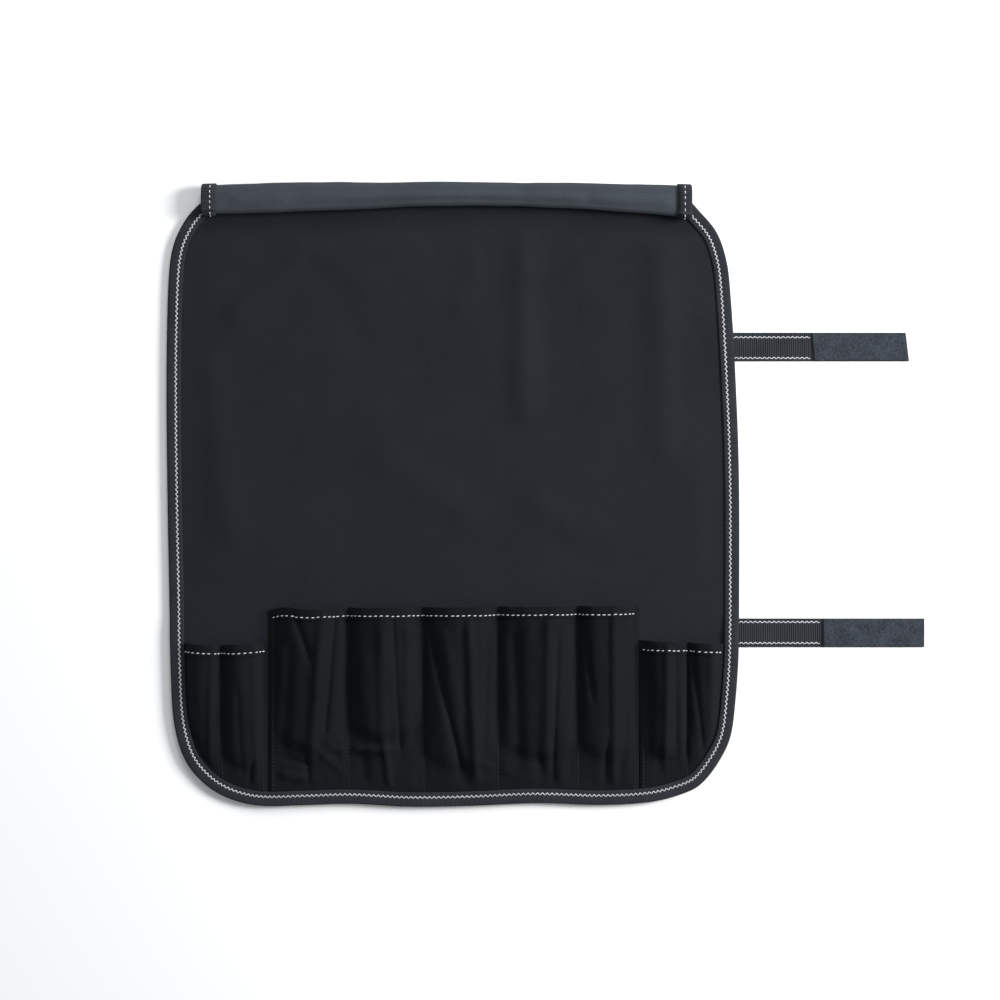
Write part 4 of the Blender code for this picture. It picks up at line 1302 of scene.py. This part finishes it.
class KNIFEROLL_OT_straps(bpy.types.Operator):
    """Add the two webbing straps with their tape"""

    bl_idname = "kniferoll.straps"
    bl_label = "Straps and tapes"

    def execute(self, context):
        for strap in STRAPS:
            start = EDGES[strap.name] - STRAP_HIDDEN
            end = strap.end * HALF_WIDTH
            made = self.plate("strap_%s_piece" % strap.name, strap, start, end, 0.0, 0.0, 0.0)
            keep(made, cloth_material("strap_webbing"), "webbing", "strap_" + strap.name)
            tape = strap.tape * HALF_WIDTH
            made = self.plate(
                "hook_tape_%s_piece" % strap.name, strap, tape, end - 0.0006,
                WEBBING + GAP, 0.0006, strap.slant / 3,
            )
            keep(made, fuzzy_material("hook_pile", colours().hook_tape, 650.0, 0.0008),
                 "hook_tape", "hook_tape_" + strap.name)
            middle = LOOP_ACROSS * HALF_WIDTH
            made = self.plate(
                "loop_tape_%s_piece" % strap.name, strap._replace(slant=0.0),
                middle - LOOP_LENGTH / 2, middle + LOOP_LENGTH / 2, 0.0, 0.0, 0.0,
            )
            keep(made, fuzzy_material("loop_pile", colours().loop_tape, 900.0, 0.0006),
                 "loop_tape", "loop_tape_" + strap.name)
        return {"FINISHED"}

    def plate(self, name, strap, start, end, level, back, start_slant):
        """A flat tape from a cube: cut across, its ends slanted and its edges rounded."""
        half = WEBBING_WIDTH / 2 - back
        y = strap.up * PANEL_LENGTH
        bpy.ops.object.select_all(action="DESELECT")
        bpy.ops.mesh.primitive_cube_add(
            size=1.0, location=((start + end) / 2, y, level + WEBBING / 2),
            scale=(end - start, 2 * half, WEBBING),
        )
        made = bpy.context.active_object
        made.name = name
        bpy.ops.object.transform_apply(location=True, rotation=True, scale=True)
        bpy.ops.object.mode_set(mode="EDIT")
        bpy.ops.mesh.select_all(action="SELECT")
        bpy.ops.mesh.bevel(offset=WEBBING * 0.36, segments=3, affect="EDGES")
        for place in even_places(start, end, PLATE_STEP)[1:-1]:
            bpy.ops.mesh.select_all(action="SELECT")
            bpy.ops.mesh.bisect(plane_co=(place, 0, 0), plane_no=(1, 0, 0))
        for share in (-0.8, -0.6, -0.3, 0.0, 0.3, 0.6, 0.8):
            bpy.ops.mesh.select_all(action="SELECT")
            bpy.ops.mesh.bisect(plane_co=(0, y + share * half, 0), plane_no=(0, 1, 0))
        bpy.ops.object.mode_set(mode="OBJECT")
        mesh = made.data
        layer = mesh.uv_layers.get("cloth") or mesh.uv_layers.new(name="cloth")
        for v in mesh.vertices:
            share = (v.co.y - y) / half
            far = clamp((v.co.x - end + 0.012) / 0.012)
            close = clamp((start + 0.012 - v.co.x) / 0.012)
            v.co.x -= share * (strap.slant / 2 * far + start_slant * close)
        for loop in mesh.loops:
            co = mesh.vertices[loop.vertex_index].co
            layer.data[loop.index].uv = (co.y, co.x)
        mesh.transform(Matrix.Translation((SHIFT_X, SHIFT_Y, 0.0)))
        for other in [u for u in mesh.uv_layers if u.name != "cloth"]:
            mesh.uv_layers.remove(other)
        bpy.ops.object.shade_smooth_by_angle(angle=math.radians(40))
        made.select_set(False)
        return made


class KNIFEROLL_OT_edge_zigzag(bpy.types.Operator):
    """Sew the white zigzag along the edge tape"""

    bl_idname = "kniferoll.edge_zigzag"
    bl_label = "Edge zigzag"

    def execute(self, context):
        pitch, width, thread = sizes().zigzag_pitch, sizes().zigzag_width, sizes().thread
        path = []
        for i in range(int((RIM.walk[-1] - 0.006) / (pitch / 2))):
            side = 1 if i % 2 == 0 else -1
            for share, out, up in ((0.0, side * width / 2, ZIGZAG_LOW), (0.5, 0.0, ZIGZAG_HIGH)):
                place = RIM.place_at_walk(0.004 + (i + share) * pitch / 2)
                x, y = RIM.at(place, ZIGZAG_LINE + out)
                roof = edge_section(place)[1]
                path.append((x, y, roof + WEBBING + thread * up))
        made = tube_along("edge_zigzag_thread", [path], thread)
        keep(made, thread_material("white_thread", colours().thread), None)
        return {"FINISHED"}


class KNIFEROLL_OT_strap_zigzag(bpy.types.Operator):
    """Sew the white zigzags along the straps"""

    bl_idname = "kniferoll.strap_zigzag"
    bl_label = "Strap zigzags"

    def execute(self, context):
        pitch, width, thread = sizes().zigzag_pitch, sizes().zigzag_width, sizes().thread
        for strap in STRAPS:
            y = strap.up * PANEL_LENGTH
            start = EDGES[strap.name] - 0.006
            end = strap.tape * HALF_WIDTH - 0.0012
            paths = []
            for side, inset in ((-1, strap.low_line), (1, strap.top_line)):
                inner = y + side * (WEBBING_WIDTH / 2 - inset)
                path = []
                for i in range(int((end - start) / (pitch / 2))):
                    way = 0.7 if i % 2 == 0 else -0.7
                    x = start + i * pitch / 2
                    path.append((x, inner + way * width / 2, WEBBING + thread * ZIGZAG_LOW))
                    path.append((x + pitch / 4, inner, WEBBING + thread * ZIGZAG_HIGH))
                paths.append(path)
            made = tube_along("strap_%s_zigzag_thread" % strap.name, paths, thread)
            keep(made, thread_material("white_thread", colours().thread), None)
        return {"FINISHED"}


class KNIFEROLL_OT_hem_stitches(bpy.types.Operator):
    """Sew the white running stitches along the hems and the flap's ends"""

    bl_idname = "kniferoll.hem_stitches"
    bl_label = "Hem stitches"

    def execute(self, context):
        pitch, length, thread = sizes().stitch_pitch, sizes().stitch_length, sizes().thread
        white = thread_material("white_thread", colours().thread)
        for strip in STRIPS:
            shape = PocketStrip(strip)
            depth = shape.seam(1, 1).y - shape.seam(1, 0).y
            v = 1 - HEM_LINE / depth
            line = []
            for k in range(len(strip.pockets)):
                for t in even_places(0.0, 1.0, 0.02)[:-1]:
                    line.append((k, t))
            line.append((len(strip.pockets) - 1, 1.0))
            points = [shape.surface(k, t, v) for k, t in line]
            ups = []
            for (k, t), p in zip(line, points):
                q = shape.surface(k, min(t + 0.01, 1.0), v) - shape.surface(k, max(t - 0.01, 0.0), v)
                w = shape.surface(k, t, v + 0.01) - shape.surface(k, t, v - 0.01)
                n = q.cross(w).normalized()
                ups.append(n if n.z > 0 else -n)
            walk = [0.0]
            for a, b in zip(points, points[1:]):
                walk.append(walk[-1] + (b - a).length)
            spots = []
            place = pitch * 0.5
            i = 0
            while place < walk[-1] - pitch * 0.4:
                while walk[i + 1] < place:
                    i += 1
                t = (place - walk[i]) / (walk[i + 1] - walk[i])
                spot = points[i].lerp(points[i + 1], t)
                up = ups[i].lerp(ups[i + 1], t).normalized()
                along = (points[i + 1] - points[i]).normalized()
                side = up.cross(along)
                jitter = noise.noise(Vector((place * 900, 1.0, 2.0)))
                along = along + side * (0.10 + 0.12 * jitter)
                top = spot + up * (CLOTH * 1.6 + thread * 0.30)
                spots.append((top, along, up))
                place += pitch * (1 + 0.05 * jitter)
            made = place_stitches(strip.name + "_hem_stitches", model_stitch(length, thread), spots)
            keep(made, white, None)
        for name, end, inset in (
            ("left", FLAP_ENDS[0], FLAP_LINE_LEFT), ("right", FLAP_ENDS[1], -FLAP_LINE_RIGHT)
        ):
            x = end * HALF_WIDTH + inset
            spots = []
            stations = [Station("fold", 0.78), Station("fold", 0.97)]
            stations += [Station("band", share) for share in (0.25, 0.6, 0.95)]
            stations += [Station("roll", 0.25), Station("roll", 0.48)]
            for station in stations:
                top = flap_point(station, x, HALF_BOUND + thread * 0.30)
                lower = flap_point(station, x, HALF_BOUND)
                up = (top - lower).normalized()
                along = up.cross(Vector((1, 0.06, 0)))
                spots.append((top, along, up))
            made = place_stitches("flap_%s_stitches" % name, model_stitch(FLAP_STITCH, thread), spots)
            keep(made, white, None)
        return {"FINISHED"}


class KNIFEROLL_OT_seam_stitches(bpy.types.Operator):
    """Sew the dark seams between the pockets"""

    bl_idname = "kniferoll.seam_stitches"
    bl_label = "Pocket seams"

    def execute(self, context):
        dark = thread_material("black_thread", colours().dark_thread)
        for strip in STRIPS:
            shape = PocketStrip(strip)
            spots = []
            for k, seam in enumerate(strip.seams):
                if seam is None:
                    continue
                pocket, t = (k, 0.0) if k < len(strip.pockets) else (k - 1, 1.0)
                depth = shape.seam(k, 1).y - shape.seam(k, 0).y
                for v in even_places(0.004, 0.995, SEAM_PITCH / depth):
                    p = shape.surface(pocket, t, v)
                    spots.append((p + Vector((0, 0, CLOTH + 0.0002)), (0, 1, 0), (0, 0, 1)))
            made = place_stitches(strip.name + "_seams", model_stitch(SEAM_STITCH, SEAM_THREAD), spots)
            keep(made, dark, None)
        return {"FINISHED"}


class KNIFEROLL_OT_stage(bpy.types.Operator):
    """Set the pale floor, the soft lights and the camera above the roll"""

    bl_idname = "kniferoll.stage"
    bl_label = "Stage"

    def execute(self, context):
        bpy.ops.object.select_all(action="DESELECT")
        bpy.ops.mesh.primitive_plane_add(size=12.0, location=(0, 0, -0.0002))
        floor = bpy.context.active_object
        floor.name = "floor"
        bpy.ops.object.transform_apply(location=True, rotation=True, scale=True)
        material, tree, shader = new_material("pale_floor")
        shader.inputs["Base Color"].default_value = (0.90, 0.90, 0.90, 1.0)
        shader.inputs["Roughness"].default_value = 0.75
        floor.data.materials.append(material)
        self.light("key", (2.0, 0.45, 1.3), 92.0, 0.85)
        self.light("fill", (0.1, 2.3, 1.7), 34.0, 1.2)
        world = bpy.data.worlds.new("studio")
        world.use_nodes = True
        world.node_tree.nodes["Background"].inputs[0].default_value = (0.95, 0.97, 1.0, 1.0)
        world.node_tree.nodes["Background"].inputs[1].default_value = 0.40
        context.scene.world = world
        context.scene.view_settings.view_transform = "Standard"
        lens = bpy.data.cameras.new("camera")
        lens.lens = 90.0
        lens.sensor_width = 36.0
        camera = bpy.data.objects.new("camera", lens)
        bpy.context.collection.objects.link(camera)
        wide = PICTURE_SIDE * PIXEL
        distance = wide * lens.lens / lens.sensor_width
        centre_x = pixel_x(PICTURE_SIDE / 2) + SHIFT_X
        centre_y = pixel_y(PICTURE_SIDE / 2) + SHIFT_Y
        camera.location = (centre_x, centre_y, distance)
        camera.rotation_euler = (0.0, 0.0, 0.0)
        context.scene.camera = camera
        return {"FINISHED"}

    def light(self, name, place, power, size):
        lamp = bpy.data.lights.new(name, "AREA")
        lamp.energy = power
        lamp.size = size
        made = bpy.data.objects.new(name, lamp)
        bpy.context.collection.objects.link(made)
        made.location = place
        made.rotation_euler = Vector(place).to_track_quat("Z", "Y").to_euler()
        return made


class KNIFEROLL_PT_panel(bpy.types.Panel):
    """Lists the knife roll's pieces"""

    bl_idname = "KNIFEROLL_PT_panel"
    bl_label = "Knife Roll"
    bl_space_type = "VIEW_3D"
    bl_region_type = "UI"
    bl_category = "Knife Roll"

    def draw(self, context):
        for group in (context.scene.roll_sizes, context.scene.roll_colours):
            for name in group.__annotations__:
                self.layout.prop(group, name)
        for step in STEPS:
            self.layout.operator(step.bl_idname)


STEPS = (
    KNIFEROLL_OT_stage,
    KNIFEROLL_OT_shell,
    KNIFEROLL_OT_lining,
    KNIFEROLL_OT_edge_tape,
    KNIFEROLL_OT_flap_tapes,
    KNIFEROLL_OT_pockets,
    KNIFEROLL_OT_straps,
    KNIFEROLL_OT_edge_zigzag,
    KNIFEROLL_OT_strap_zigzag,
    KNIFEROLL_OT_hem_stitches,
    KNIFEROLL_OT_seam_stitches,
)
CLASSES = (RollSizes, RollColours) + STEPS + (KNIFEROLL_PT_panel,)


def register():
    for item in CLASSES:
        bpy.utils.register_class(item)
    bpy.types.Scene.roll_sizes = PointerProperty(type=RollSizes)
    bpy.types.Scene.roll_colours = PointerProperty(type=RollColours)


def unregister():
    del bpy.types.Scene.roll_colours
    del bpy.types.Scene.roll_sizes
    for item in reversed(CLASSES):
        bpy.utils.unregister_class(item)


def main():
    register()
    for step in STEPS:
        group, name = step.bl_idname.split(".")
        getattr(getattr(bpy.ops, group), name)()


if __name__ == "__main__":
    main()
